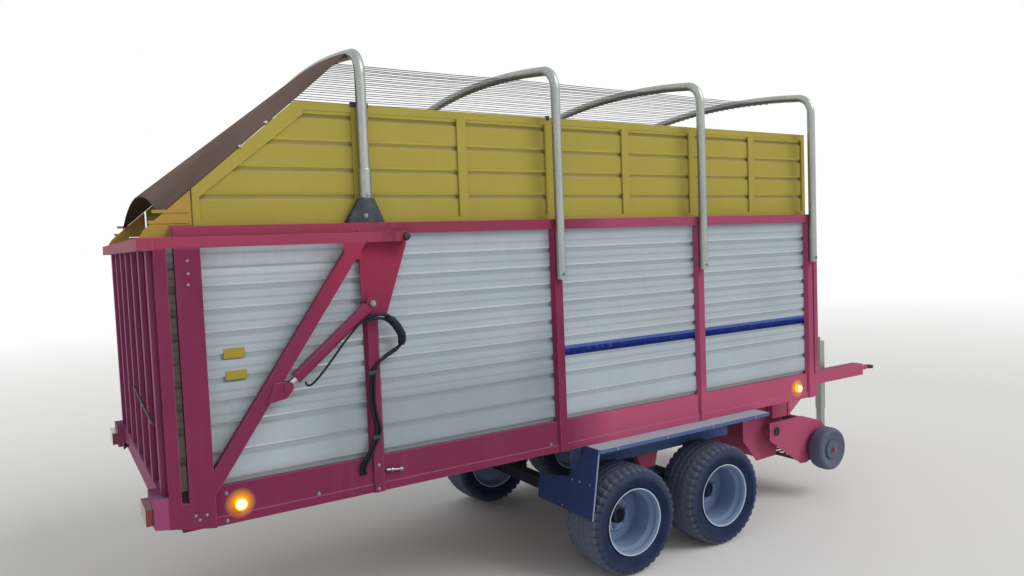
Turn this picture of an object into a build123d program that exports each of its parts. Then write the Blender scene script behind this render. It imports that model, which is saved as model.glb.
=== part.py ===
"""Self-loading hay wagon: ribbed white side walls, yellow upper side panels, roof bows with cords,
a tailgate lifted by two cylinders, a tandem axle, a pickup with a tined reel, and a drawbar on its jack.

Sizes are in millimetres. x runs forward to the drawbar, y to the left, z up from the ground.
Right-hand pieces are modelled and the left-hand ones are their mirror images.
"""
from math import atan2, cos, degrees, hypot, radians, sin

from build123d import *
import os

os.makedirs("parts", exist_ok=True)

# Running gear
WHEEL_RADIUS = 374
TYRE_WIDTH = 350
RIM_RADIUS = 232
RIM_DEPTH = 190
TRACK = 1890
AXLE_SPACING = 880
REAR_AXLE_X = -721
HUB_RADIUS = 62
SPINDLE_RADIUS = 30
AXLE_BEAM = 90
HUB_INNER = 92
HUB_BORE_END = 32
HUB_FACE = 12
TYRE_WALL = 16
RUNNING = 0.08
SEAT = 0.3

FENDER_OVERHANG = 325
FENDER_OUT = 130
FLAP_INNER_Y = 500
FLAP_HEIGHT = 465
FLAP_TILT = 9

# Body
BODY_WIDTH = 2040
SILL_BOTTOM = 942
SILL_HEIGHT = 202
SILL_SET_IN = 18
SILL_LIP = 4
SILL_LIP_HEIGHT = 44
RAIL_TOP = 2462
RAIL_HEIGHT = 63
RAIL_WIDTH = 110
RAIL_WALL = 4
BODY_REAR_X = -3585
SILL_REAR_X = BODY_REAR_X + 174
BODY_FRONT_X = 1402
FRONT_WALL = 44
POST_PITCH = 1287
FIRST_POST_X = -2522
POST_COUNT = 4
POST_WIDTH = 92
POST_CROWN = 56
POST_DEPTH = 33
POST_WALL = 4
REAR_POST_X = BODY_REAR_X + 120
PANEL_SET_IN = 33
SHEET = 2
GROOVE_DEPTH = 16
GROOVE_FLOOR = 18
GROOVE_MOUTH = 44
BASE_GROOVE = 213
LOW_GROOVES = [357, 504]
HIGH_GROOVE_BASE = 623
HIGH_GROOVE_PITCH = 117
HIGH_GROOVE_COUNT = 7
FLOOR_TOP = 1012
FLOOR_THICKNESS = 20
CROSS_MEMBER_PITCH = 640
CROSS_MEMBER_COUNT = 7
CROSS_MEMBER_WIDTH = 50
FRAME_RAIL_Y = TRACK / 2 - 220
FRAME_RAIL_WIDTH = 60
FRAME_RAIL_HEIGHT = 80
FRAME_WALL = 6
BEAM_WALL = 5

# Yellow upper side panels
EXTENSION_HEIGHT = 658
EXTENSION_SET_IN = 74
EXTENSION_FRAME = 12
EXTENSION_FLANGE = 40
EXTENSION_POST = 62
EXTENSION_GROOVE_BASE = 153
EXTENSION_GROOVE_PITCH = 145.7
EXTENSION_GROOVE_COUNT = 4
EXTENSION_REAR_X = BODY_REAR_X + 173
EXTENSION_SLOPE_TOP_X = BODY_REAR_X + 714
SLOPE_LOW_X = BODY_REAR_X + 10
SLOPE_LOW_Z = 2507
COVER_THICKNESS = 8
COVER_LOW_HALF = 944
COVER_TOP_HALF = 850
COVER_LOW_CROWN = 2670

# Lamps
MARKER_FROM_REAR = 306
MARKER_FROM_FRONT = 260
TAIL_LAMP_WIDTH = 220

# Tailgate
GATE_SHEET_TOP = 2252
GATE_LAYER = 14
GATE_TUBE = 50
PIVOT_X = -2323
PIVOT_Z = 2380
PIVOT_RADIUS = 18
GATE_REAR_X = BODY_REAR_X - 105
GATE_WALL_DEPTH = 70
GATE_BEAM = 60
ARM_HEIGHT = 54
GATE_FOOT_TOP = 1112
GATE_FOOT_REAR = 1014
GATE_FOOT_FRONT = 962
GATE_CORNER_TOP = 1155
GATE_CORNER_WIDTH = 184
GATE_LOW_BEAM = 1030
GATE_LOW_BEAM_HEIGHT = 120
GATE_TUBE_X = GATE_REAR_X + 45
NARROW_POST_X = GATE_REAR_X + 98
NARROW_POST_WIDTH = 56
WIDE_POST_X = GATE_REAR_X + 220
WIDE_POST_WIDTH = 118
STRUT_TOP_X = -2585
STRUT_LOW_X = WIDE_POST_X + 16
STRUT_LOW_Z = 1122
STRUT_WIDTH = 72
GATE_TUBE_COUNT = 7
GATE_TUBE_WIDTH = 60
GATE_TUBE_DEPTH = 35
GATE_TUBE_REACH = 990
WING_OUT = -62
WING_THICKNESS = 6

# Springs
SPRING_SEAT = 40
SPRING_LEAF = 14
SPRING_LEAVES = 5
SPRING_CLAMP = 60

# Tailgate cylinders
BARREL_PIVOT_X = -2542
BARREL_PIVOT_Z = 2017
ROD_EYE_X = -3030
ROD_EYE_Z = 1611
BARREL_RADIUS = 32
ROD_RADIUS = 17
BARREL_LENGTH = 566
CYLINDER_OUT = 44
CYLINDER_PIN = 12.5
GUSSET_PLATE = 8

# Roof bows
BOW_RADIUS = 30
BOW_WALL = 3
BOW_BEND = 135
BOW_SHOULDER_Z = 3401
BOW_CROWN_SLOPE = 0.1495
BOW_OUTSET = 30
REAR_BOW_INSET = 40
REAR_BOW_AHEAD = 13
BOW_FOOT_Z = 2074
BOOT_HEIGHT = 135
CORD_COUNT = 21
CORD_PITCH = 62
CORD_RADIUS = 2.5
BOOT_BASE = 210
BOOT_WIDTH = 64
BOOT_TOP = 100

# Pickup and rotor
ROTOR_X = 1130
ROTOR_Z = 640
ROTOR_TIP_RADIUS = 235
ROTOR_TUBE_RADIUS = 75
ROTOR_WIDTH = 2 * FRAME_RAIL_Y - 130
ROTOR_STARS = 14
REEL_X = 1670
REEL_Z = 470
REEL_TIP_RADIUS = 210
REEL_BAND_RADIUS = 152
BAND_WIDTH = 38
BAND_TUBE_REACH = 236
TINE_ROWS = 22
REEL_WIDTH = 1560
PIVOT_BUSH_RADIUS = 52
SHAFT_RADIUS = 38
GUARD_Y = 804
GAUGE_WHEEL_X = 1687
GAUGE_WHEEL_Z = 417
GAUGE_WHEEL_RADIUS = 185
GAUGE_WHEEL_WIDTH = 140
GAUGE_WHEEL_PIN = 15
REEL_SHAFT = 25

# Drawbar
EYE_X = 3675
EYE_Z = 800
EYE_OUTER = 50
EYE_BORE = 20
EYE_THICKNESS = 30
DRAWBAR_JOIN_X = 2480
DRAWBAR_HEIGHT = 120
DRAWBAR_WIDTH = 120
JACK_X = 2980
JACK_TUBE = 70
JACK_LEG = 60
JACK_FOOT = 200
JACK_LEG_TOP = 800
GEARBOX_X = 1700

HALF_WIDTH = BODY_WIDTH / 2
SILL_TOP = SILL_BOTTOM + SILL_HEIGHT
RAIL_BOTTOM = RAIL_TOP - RAIL_HEIGHT
EXTENSION_TOP = RAIL_TOP + EXTENSION_HEIGHT
FLOOR_BOTTOM = FLOOR_TOP - FLOOR_THICKNESS
FRONT_AXLE_X = REAR_AXLE_X + AXLE_SPACING
AXLE_Z = WHEEL_RADIUS
SPRING_LEAF_TOP = AXLE_Z + AXLE_BEAM / 2 + SPRING_SEAT + SPRING_LEAF * SPRING_LEAVES
SPRING_CLAMP_TOP = SPRING_LEAF_TOP + SPRING_CLAMP
REAR_BOW_X = FIRST_POST_X + REAR_BOW_AHEAD
ROTOR_CLEAR = ROTOR_TIP_RADIUS + 14
FLOOR_FRONT_X = ROTOR_X - ROTOR_CLEAR - 36
FRONT_WALL_X = BODY_FRONT_X - FRONT_WALL
LAST_POST_X = FRONT_WALL_X - POST_WIDTH / 2 - 2
POST_X = [min(FIRST_POST_X + POST_PITCH * i, LAST_POST_X) for i in range(POST_COUNT)]
DRAWBAR_REAR_X = BODY_FRONT_X - 76
PIVOT_BUSH_END = REEL_WIDTH / 2 + 17
REEL_HALF = REEL_WIDTH / 2 - 20
TINE_PITCH = (2 * REEL_HALF - 72) / (TINE_ROWS - 1)
SLOPE_RISE = (EXTENSION_TOP - SLOPE_LOW_Z) / (EXTENSION_SLOPE_TOP_X - SLOPE_LOW_X)
PANEL_INNER = PANEL_SET_IN + GROOVE_DEPTH + SHEET


def block(x0, x1, y0, y1, z0, z1):
    """Box between two corners."""
    centre = ((x0 + x1) / 2, (y0 + y1) / 2, (z0 + z1) / 2)
    return Pos(*centre) * Box(abs(x1 - x0), abs(y1 - y0), abs(z1 - z0))


def outward(distance):
    """y of a point that lies outward of the right-hand side plane by a distance."""
    return -HALF_WIDTH - distance


def side_block(x0, x1, out0, out1, z0, z1):
    """Box on the right-hand side, its y given as distances outward of the side plane."""
    return block(x0, x1, outward(out0), outward(out1), z0, z1)


def plate(outline, out0, out1):
    """Flat plate on the right-hand side: an outline in x and z, between two distances outward."""
    low = min(outward(out0), outward(out1))
    face = make_face(Polyline([(x, low, z) for x, z in outline], close=True))
    return extrude(face, amount=abs(out1 - out0), dir=(0, 1, 0))


def section(outline, x0, x1):
    """Straight length along x with a closed section given as distances outward and heights."""
    face = make_face(Polyline([(x0, outward(out), z) for out, z in outline], close=True))
    return extrude(face, amount=x1 - x0, dir=(1, 0, 0))


def rod(start, end, radius):
    """Round bar between two points."""
    start, end = Vector(*start), Vector(*end)
    plane = Plane(origin=start, z_dir=end - start)
    return extrude(plane * Circle(radius), amount=(end - start).length)


def ring_profile(points, x, y, z):
    """Solid of revolution about a y axis through x, z: points are radius and distance along y."""
    face = make_face(Polyline([(x + r, y + along, z) for r, along in points], close=True))
    return revolve(face, axis=Axis((x, y, z), (0, 1, 0)))


def left_of(shape):
    """The left-hand twin of a right-hand piece."""
    return mirror(shape, about=Plane.XZ)


def save(shape, name):
    export_step(shape, f"parts/{name}.step")


def save_pair(shape, name):
    """One file for the right-hand piece and one for the left-hand one."""
    save(shape, f"{name}_right")
    save(left_of(shape), f"{name}_left")


def both_sides(shape):
    """A right-hand piece and its twin in one node."""
    return Compound(children=[shape, left_of(shape)])


def ribbed_outline(grooves, base, top, set_in, base_groove=None):
    """Section of a sheet with horizontal grooves: outer face going up, inner face coming down."""
    outer = [(-set_in, base)]
    if base_groove is not None:
        outer = [(-set_in - GROOVE_DEPTH, base), (-set_in - GROOVE_DEPTH, base_groove + GROOVE_FLOOR / 2),
                 (-set_in, base_groove + GROOVE_MOUTH / 2)]
    for centre in grooves:
        outer.append((-set_in, centre - GROOVE_MOUTH / 2))
        outer.append((-set_in - GROOVE_DEPTH, centre - GROOVE_FLOOR / 2))
        outer.append((-set_in - GROOVE_DEPTH, centre + GROOVE_FLOOR / 2))
        outer.append((-set_in, centre + GROOVE_MOUTH / 2))
    outer.append((-set_in, top))
    inner = [(out - SHEET, z) for out, z in reversed(outer)]
    return outer + inner


def wall_panel():
    grooves = [SILL_BOTTOM + height for height in LOW_GROOVES]
    grooves += [SILL_BOTTOM + HIGH_GROOVE_BASE + HIGH_GROOVE_PITCH * i for i in range(HIGH_GROOVE_COUNT)]
    outline = ribbed_outline(grooves, SILL_TOP, RAIL_BOTTOM, PANEL_SET_IN, SILL_BOTTOM + BASE_GROOVE)
    return section(outline, BODY_REAR_X, FRONT_WALL_X)


def sill():
    """Channel with its foot standing slightly proud as a lip."""
    wall = 5
    face, lip = -SILL_SET_IN, -SILL_SET_IN + SILL_LIP
    fold = SILL_BOTTOM + SILL_LIP_HEIGHT
    outline = [
        (-60, SILL_TOP), (face, SILL_TOP), (face, fold + SILL_LIP), (lip, fold), (lip, SILL_BOTTOM),
        (-60, SILL_BOTTOM), (-60, SILL_BOTTOM + wall), (lip - wall, SILL_BOTTOM + wall), (lip - wall, fold - 2),
        (face - wall, fold + 2), (face - wall, SILL_TOP - wall), (-60, SILL_TOP - wall),
    ]
    return section(outline, SILL_REAR_X, BODY_FRONT_X)


def post(x, width, crown, over_sill=True):
    """Hat-section post on the wall panel, open towards it; its face runs on down over the sill."""
    def hat(half_foot, foot, half_crown, face, z0, z1):
        outline = [(x - half_foot, outward(foot)), (x - half_crown, outward(face)),
                   (x + half_crown, outward(face)), (x + half_foot, outward(foot))]
        flat = make_face(Polyline([(px, py, z0) for px, py in outline], close=True))
        return extrude(flat, amount=z1 - z0, dir=(0, 0, 1))

    wall = POST_WALL
    shape = hat(width / 2, -POST_DEPTH, crown / 2, 0, SILL_TOP, RAIL_BOTTOM)
    shape -= hat(width / 2 - wall, -POST_DEPTH - 0.01, crown / 2 - wall * 0.6, -wall, SILL_TOP, RAIL_BOTTOM)
    if over_sill:
        foot = -SILL_SET_IN + SILL_LIP + SEAT
        half_foot = crown / 2 + (width - crown) / 2 * foot / -POST_DEPTH
        shape += hat(half_foot, foot, crown / 2, 0, SILL_BOTTOM, SILL_TOP)
    return shape


def wall_posts():
    posts = [post(REAR_POST_X, 80, 50, over_sill=False)] + [post(x, POST_WIDTH, POST_CROWN) for x in POST_X]
    return Compound(children=posts)


def top_rail():
    """Box-section rail, closed at its rear end."""
    rear, wall = BODY_REAR_X + 63, RAIL_WALL
    rail = side_block(rear, BODY_FRONT_X, -RAIL_WIDTH, 0, RAIL_BOTTOM, RAIL_TOP)
    return rail - side_block(rear + wall, BODY_FRONT_X + 1, -RAIL_WIDTH + wall, -wall,
                             RAIL_BOTTOM + wall, RAIL_TOP - wall)


def hinge_gusset():
    """Tapered plate on the second post, with the tailgate's pivot and the cylinder's pivot."""
    top, corner = RAIL_BOTTOM + 20, PIVOT_X + 23
    outline = [
        (FIRST_POST_X - 61, top), (corner, top), (corner, PIVOT_Z - 43),
        (BARREL_PIVOT_X + 105, BARREL_PIVOT_Z - 73),
        (BARREL_PIVOT_X - 28, BARREL_PIVOT_Z - 60), (FIRST_POST_X - 61, BARREL_PIVOT_Z - 20),
    ]
    shape = plate(outline, 0, GUSSET_PLATE)
    pivot_end = GATE_LAYER + GATE_TUBE + 14
    shape += rod((PIVOT_X, outward(GUSSET_PLATE - 1), PIVOT_Z),
                 (PIVOT_X, outward(pivot_end), PIVOT_Z), PIVOT_RADIUS)
    shape += rod((BARREL_PIVOT_X, outward(GUSSET_PLATE - 1), BARREL_PIVOT_Z),
                 (BARREL_PIVOT_X, outward(CYLINDER_OUT + 32), BARREL_PIVOT_Z), CYLINDER_PIN)
    return shape


def bed_floor():
    half = HALF_WIDTH - PANEL_INNER
    return block(BODY_REAR_X + 20, FLOOR_FRONT_X, -half, half, FLOOR_BOTTOM, FLOOR_TOP)


def scraper_floor():
    """Two chain strands on the floor with cross slats between them."""
    shape = None
    chain_y, chain_width, chain_height, slat = 430, 36, 16, 40
    start, end = BODY_REAR_X + 60, FLOOR_FRONT_X - 20
    for side in (-1, 1):
        strand = block(start, end, side * chain_y - chain_width / 2, side * chain_y + chain_width / 2,
                       FLOOR_TOP, FLOOR_TOP + chain_height)
        shape = strand if shape is None else shape + strand
    x = start + 80
    while x < end - slat:
        shape += block(x, x + slat, -HALF_WIDTH + 130, HALF_WIDTH - 130, FLOOR_TOP, FLOOR_TOP + 28)
        x += 420
    return shape


def chassis_frame():
    """Two long box rails, cross members into the sills, and the spring brackets."""
    rail_bottom = SILL_BOTTOM - FRAME_RAIL_HEIGHT
    middle = (REAR_AXLE_X + FRONT_AXLE_X) / 2
    wall = FRAME_WALL
    rear, front = BODY_REAR_X + 60, DRAWBAR_REAR_X
    shape = None
    for side in (-1, 1):
        y = side * FRAME_RAIL_Y
        half = FRAME_RAIL_WIDTH / 2
        rail = block(rear, front, y - half, y + half, rail_bottom, SILL_BOTTOM)
        inner = half - wall
        rail -= block(rear - 1, front + 1, y - inner, y + inner, rail_bottom + wall, SILL_BOTTOM - wall)
        shape = rail if shape is None else shape + rail
        foot = SPRING_CLAMP_TOP + SEAT
        outline = [(middle - 150, rail_bottom), (middle + 150, rail_bottom), (middle + 70, foot),
                   (middle - 70, foot)]
        face = make_face(Polyline([(px, y - 25, pz) for px, pz in outline], close=True))
        shape += extrude(face, amount=50, dir=(0, 1, 0))
    starts = [rear + CROSS_MEMBER_PITCH * i for i in range(CROSS_MEMBER_COUNT)]
    lip = SILL_BOTTOM + 5 + SEAT
    for x in starts + [FLOOR_FRONT_X - CROSS_MEMBER_WIDTH]:
        end = x + CROSS_MEMBER_WIDTH
        member = block(x, end, -HALF_WIDTH + 60, HALF_WIDTH - 60, SILL_BOTTOM, FLOOR_BOTTOM)
        reach = HALF_WIDTH - SILL_SET_IN - 6
        member += block(x, end, -reach, reach, lip, FLOOR_BOTTOM)
        shape += member - block(x + wall, end - wall, -HALF_WIDTH, HALF_WIDTH,
                                lip + wall, FLOOR_BOTTOM - wall)
    return shape


def bogie_spring():
    """Leaf-spring walking beam that joins the two axles on the right."""
    middle = (REAR_AXLE_X + FRONT_AXLE_X) / 2
    y = -FRAME_RAIL_Y
    axle_top = AXLE_Z + AXLE_BEAM / 2
    shape = block(middle - 70, middle + 70, y - 35, y + 35,
                  SPRING_CLAMP_TOP - SPRING_CLAMP, SPRING_CLAMP_TOP)
    for i in range(SPRING_LEAVES):
        reach = AXLE_SPACING / 2 + 60 - 75 * i
        z = axle_top + SPRING_SEAT + SPRING_LEAF * i
        shape += block(middle - reach, middle + reach, y - 32, y + 32, z, z + SPRING_LEAF)
    for x in (REAR_AXLE_X, FRONT_AXLE_X):
        shape += block(x - 55, x + 55, y - 35, y + 35, axle_top, axle_top + SPRING_SEAT)
    return shape


def axle(x):
    """Square beam with a round spindle into each hub."""
    beam_half = TRACK / 2 - HUB_INNER - 6
    spindle_half = TRACK / 2 - HUB_BORE_END - 8
    shape = block(x - AXLE_BEAM / 2, x + AXLE_BEAM / 2, -beam_half, beam_half,
                  AXLE_Z - AXLE_BEAM / 2, AXLE_Z + AXLE_BEAM / 2)
    return shape + rod((x, -spindle_half, AXLE_Z), (x, spindle_half, AXLE_Z), SPINDLE_RADIUS)


def tyre():
    """Implement tyre with a low rounded tread, open between its beads."""
    half = TYRE_WIDTH / 2
    r, rim, wall = WHEEL_RADIUS, RIM_RADIUS, TYRE_WALL
    outer = [
        (rim - 12, -half + 40), (rim + 14, -half + 22), (rim + 50, -half + 4),
        (rim + 80, -half), (r - 34, -half + 8), (r - 12, -half + 26), (r - 3, -half + 70),
        (r, -60), (r, 60), (r - 3, half - 70), (r - 12, half - 26), (r - 34, half - 8),
        (rim + 80, half), (rim + 50, half - 4), (rim + 14, half - 22), (rim - 12, half - 40),
    ]
    inner = [
        (rim - 12, half - 60), (rim + 14, half - 50), (rim + 50, half - wall - 4), (rim + 80, half - wall),
        (r - 46, half - wall - 14), (r - 34, 60), (r - 34, -60), (r - 46, -half + wall + 14),
        (rim + 80, -half + wall), (rim + 50, -half + wall + 4), (rim + 14, -half + 50),
        (rim - 12, -half + 60),
    ]
    return ring_profile(outer + inner, 0, -TRACK / 2, AXLE_Z)


def rim():
    """Deep dished steel rim with a stepped well, a disc far inside it and a hub."""
    half = TYRE_WIDTH / 2
    r = RIM_RADIUS
    bore = SPINDLE_RADIUS + RUNNING
    outer = [
        (r, -half + 18), (r, -half + 23), (r - 12.5, -half + 39), (r - 12.5, -half + 60),
        (r - 30, -half + 90), (r - 30, half - 90), (r - 12.5, half - 60), (r - 12.5, half - 39),
        (r, half - 23), (r, half - 18),
    ]
    inner = [
        (r - 6, half - 18), (r - 20, half - 42), (r - 20, half - 62), (r - 38, half - 93),
        (r - 38, 76), (HUB_RADIUS + 64, 70), (HUB_RADIUS + 50, 58), (HUB_RADIUS, 58),
        (HUB_RADIUS, HUB_INNER), (bore, HUB_INNER), (bore, HUB_BORE_END), (0, HUB_BORE_END), (0, HUB_FACE),
        (HUB_RADIUS - 12, HUB_FACE), (HUB_RADIUS - 2, HUB_FACE + 10), (HUB_RADIUS - 2, 48),
        (HUB_RADIUS + 54, 48), (HUB_RADIUS + 68, 60), (r - 38, 66), (r - 38, -half + 93),
        (r - 20, -half + 62), (r - 20, -half + 42), (r - 6, -half + 18),
    ]
    return ring_profile(outer + inner, 0, -TRACK / 2, AXLE_Z)


def fender():
    """Flat guard over the two wheels, with a turned-down edge and an inner splash plate."""
    x0, x1 = REAR_AXLE_X - FENDER_OVERHANG, FRONT_AXLE_X + FENDER_OVERHANG + 130
    top = SILL_BOTTOM - SEAT
    inner = -(HALF_WIDTH - FRAME_RAIL_Y - FRAME_RAIL_WIDTH / 2 - SEAT)
    shape = side_block(x0, x1, inner, FENDER_OUT, top - 4, top)
    shape += side_block(x0, x1, FENDER_OUT - 4, FENDER_OUT, top - 26, top - 3)
    return shape + side_block(x0 + 40, x1 - 40, inner, inner + 4, top - 240, top - 3)


def mud_flap():
    """Rubber flap behind the rear wheel, hung from the guard; it widens inward below its arm and leans back."""
    x0 = REAR_AXLE_X - FENDER_OVERHANG
    top = SILL_BOTTOM - SEAT - 4
    bottom = top - FLAP_HEIGHT
    outer, wide = FENDER_OUT - 12, -(HALF_WIDTH - FLAP_INNER_Y)
    neck = outer - 186
    outline = [(outer, top), (neck, top), (neck - 7, top - 106), (neck - 72, top - 186),
               (neck - 127, top - 242), (wide, top - 292), (wide, bottom), (outer, bottom)]
    flap = section(outline, x0, x0 + 8)
    hinge = Axis((x0, 0, top), (0, 1, 0))
    return flap.rotate(hinge, FLAP_TILT)


def extension_grooves():
    base = RAIL_TOP + EXTENSION_GROOVE_BASE
    return [base + EXTENSION_GROOVE_PITCH * i for i in range(EXTENSION_GROOVE_COUNT)]


def slope_z(x):
    """Height of the sloping rear edge of the yellow sides at x."""
    return SLOPE_LOW_Z + (x - SLOPE_LOW_X) * SLOPE_RISE


def extension():
    """Ribbed yellow sheet with edge frame and posts; its rear end slopes with the rear cover."""
    outer, inner = -EXTENSION_SET_IN, -EXTENSION_SET_IN - EXTENSION_FRAME
    front = FRONT_WALL_X
    outline = ribbed_outline(extension_grooves(), RAIL_TOP, EXTENSION_TOP, -inner)
    shape = section(outline, EXTENSION_REAR_X, front)
    shape += side_block(EXTENSION_SLOPE_TOP_X, front, outer, inner, EXTENSION_TOP - 45, EXTENSION_TOP)
    flange = outer - EXTENSION_FLANGE
    shape += side_block(EXTENSION_SLOPE_TOP_X, front, outer, flange, EXTENSION_TOP - 4, EXTENSION_TOP)
    shape += side_block(EXTENSION_REAR_X, front, outer, inner, RAIL_TOP, RAIL_TOP + 30)
    for i in range(2 * POST_COUNT - 1):
        centre = REAR_BOW_X + POST_PITCH / 2 * i
        half = EXTENSION_POST / 2 + (18 if i == 0 else 0)
        shape += side_block(centre - half, min(centre + half, front), outer, inner, RAIL_TOP, EXTENSION_TOP)
    shape += side_block(EXTENSION_REAR_X, EXTENSION_REAR_X + 36, outer, inner, RAIL_TOP, EXTENSION_TOP)
    band = 70
    edge = [(EXTENSION_REAR_X, slope_z(EXTENSION_REAR_X)), (EXTENSION_SLOPE_TOP_X, EXTENSION_TOP),
            (EXTENSION_SLOPE_TOP_X + 40, EXTENSION_TOP), (EXTENSION_SLOPE_TOP_X + 40, EXTENSION_TOP - band),
            (EXTENSION_REAR_X, slope_z(EXTENSION_REAR_X) - band)]
    shape += plate(edge, outer, inner)
    above = EXTENSION_TOP + 50
    behind = EXTENSION_REAR_X - 10
    waste = [(behind, slope_z(behind)), (EXTENSION_SLOPE_TOP_X, EXTENSION_TOP),
             (EXTENSION_SLOPE_TOP_X, above), (behind, above)]
    return shape - plate(waste, 0, -RAIL_WIDTH - 30)


def gate_wing():
    """Yellow plate on the tailgate's top beam that carries the sloping edge on to its rear."""
    front = EXTENSION_REAR_X - 8
    rest = PIVOT_Z + ARM_HEIGHT / 2
    over_rail = RAIL_TOP + 5
    rear_slope = SLOPE_LOW_X - 15
    outline = [(front, over_rail), (front, slope_z(front)), (rear_slope, slope_z(rear_slope)),
               (rear_slope - 50, slope_z(rear_slope) - 45), (rear_slope - 75, rest), (SLOPE_LOW_X + 47, rest),
               (SLOPE_LOW_X + 47, over_rail)]
    shape = plate(outline, WING_OUT, WING_OUT - WING_THICKNESS)
    for z in (over_rail + 10, over_rail + 62):
        reach = rear_slope - 30 + (20 if z > over_rail + 40 else 0)
        shape += side_block(reach, front - 12, WING_OUT, WING_OUT + 3, z, z + 16)
    return shape


def bow(x, shift, foot):
    """Bent tube with a gently arched top; shift is how far its legs stand outward."""
    half = HALF_WIDTH + shift
    crown = BOW_SHOULDER_Z + BOW_CROWN_SLOPE * half
    crown_bend = (half - BOW_BEND * 0.93) / BOW_CROWN_SLOPE
    points = [(x, -half, foot), (x, -half, BOW_SHOULDER_Z), (x, 0, crown), (x, half, BOW_SHOULDER_Z),
              (x, half, foot)]
    path = FilletPolyline(*points, radius=[BOW_BEND, crown_bend, BOW_BEND])
    start = Plane(origin=points[0], z_dir=(0, 0, 1))
    ring = Circle(BOW_RADIUS) - Circle(BOW_RADIUS - BOW_WALL)
    return sweep(start * ring, path=path)


def roof_bows():
    bows = [bow(REAR_BOW_X, -REAR_BOW_INSET, RAIL_TOP + SEAT)]
    bows += [bow(x, BOW_OUTSET + SEAT, BOW_FOOT_Z) for x in POST_X[1:]]
    return Compound(children=bows)


def bow_top(y, shift):
    """Height of a bow's centre line at y, inside its corner bends."""
    half = HALF_WIDTH + shift
    bend = (half - BOW_BEND * 0.93) / BOW_CROWN_SLOPE
    crown = BOW_SHOULDER_Z + BOW_CROWN_SLOPE * half - bend * (hypot(1, BOW_CROWN_SLOPE) - 1)
    return crown - bend + (bend * bend - y * y) ** 0.5


def roof_cords():
    """Cords along the roof, drawn under the bows from the rear one to the last."""
    cords = []
    hang = BOW_RADIUS + CORD_RADIUS + 0.4
    for i in range(CORD_COUNT):
        y = (i - (CORD_COUNT - 1) / 2) * CORD_PITCH
        low = bow_top(y, -REAR_BOW_INSET) - hang
        high = bow_top(y, BOW_OUTSET + SEAT) - hang
        start, knee, end = (REAR_BOW_X - 6, y, low), (POST_X[1], y, high), (POST_X[-1] + 6, y, high)
        cords.append(rod(start, knee, CORD_RADIUS) + rod(knee, end, CORD_RADIUS))
    return Compound(children=cords)


def bow_boot():
    """Tapered rubber foot of the rear bow."""
    y = outward(-REAR_BOW_INSET)
    low = Pos(FIRST_POST_X, y, RAIL_TOP + 12) * Rectangle(BOOT_BASE, BOOT_WIDTH)
    high = Pos(REAR_BOW_X, y, RAIL_TOP + BOOT_HEIGHT) * Ellipse(BOOT_TOP / 2, BOOT_WIDTH / 2)
    shape = loft([low, high])
    along, across = BOOT_BASE / 2, BOOT_WIDTH / 2
    shape += block(FIRST_POST_X - along, FIRST_POST_X + along, y - across, y + across, RAIL_TOP, RAIL_TOP + 12)
    hole = Pos(REAR_BOW_X, y, RAIL_TOP + BOOT_HEIGHT) * Cylinder(BOW_RADIUS + SEAT, 2 * BOOT_HEIGHT + 20)
    return shape - hole


def rear_cover():
    """Arched sheet from just behind the tailgate's top, over the sloping edges, up to the rear bow."""
    low_x, high_x = SLOPE_LOW_X + 10, REAR_BOW_X - BOW_RADIUS - SEAT
    top = COVER_THICKNESS
    high_crown = bow_top(0, -REAR_BOW_INSET) - top / 2
    rise = (high_crown - COVER_LOW_CROWN) / (high_x - low_x)
    bend = (HALF_WIDTH - REAR_BOW_INSET - BOW_BEND * 0.93) / BOW_CROWN_SLOPE
    stations = [
        (low_x, COVER_LOW_HALF, slope_z(low_x) + 2),
        (EXTENSION_SLOPE_TOP_X, COVER_LOW_HALF - 8, EXTENSION_TOP + 4),
        (high_x, COVER_TOP_HALF, high_crown - COVER_TOP_HALF ** 2 / (2 * bend)),
    ]
    sections = []
    for x, half, edge in stations:
        crown = COVER_LOW_CROWN + rise * (x - low_x)
        inner = ThreePointArc((x, half, edge), (x, 0, crown), (x, -half, edge))
        outer = ThreePointArc((x, -half, edge + top), (x, 0, crown + top), (x, half, edge + top))
        ends = [Line(inner @ 1, outer @ 0), Line(outer @ 1, inner @ 0)]
        sections.append(make_face([inner, ends[0], outer, ends[1]]))
    return loft(sections, ruled=True)


def front_wall():
    """Red frame with a sheet below and upright bars above."""
    x0, x1 = FRONT_WALL_X, BODY_FRONT_X
    half = HALF_WIDTH - 2
    shape = None
    for side in (-1, 1):
        y = side * half
        upright = block(x0, x1, y - side * 60, y, SILL_TOP, RAIL_BOTTOM)
        shape = upright if shape is None else shape + upright
    middle = 1780
    for z0, z1 in ((SILL_TOP, SILL_TOP + 70), (middle, middle + 60), (RAIL_BOTTOM - 60, RAIL_BOTTOM)):
        shape += block(x0, x1, -half + 10, half - 10, z0, z1)
    shape += block(x0 + 18, x0 + 22, -half + 30, half - 30, SILL_TOP + 20, middle + 20)
    for i in range(1, 14):
        y = -half + 2 * half * i / 14
        shape += block(x0 + 10, x0 + 34, y - 12, y + 12, middle + 30, RAIL_BOTTOM - 30)
    return shape


def front_grille():
    """Yellow upper front panel of upright slats between two cross tubes."""
    x1 = BODY_FRONT_X - 4
    x0 = x1 - 40
    half = HALF_WIDTH - RAIL_WIDTH - SEAT
    shape = block(x0, x1, -half, half, RAIL_BOTTOM, RAIL_BOTTOM + 55)
    shape += block(x0, x1, -half, half, EXTENSION_TOP - 50, EXTENSION_TOP)
    for i in range(15):
        y = -half + 20 + (2 * half - 40) * i / 14
        shape += block(x0 + 8, x0 + 32, y - 16, y + 16, RAIL_BOTTOM + 30, EXTENSION_TOP - 20)
    return shape


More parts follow.
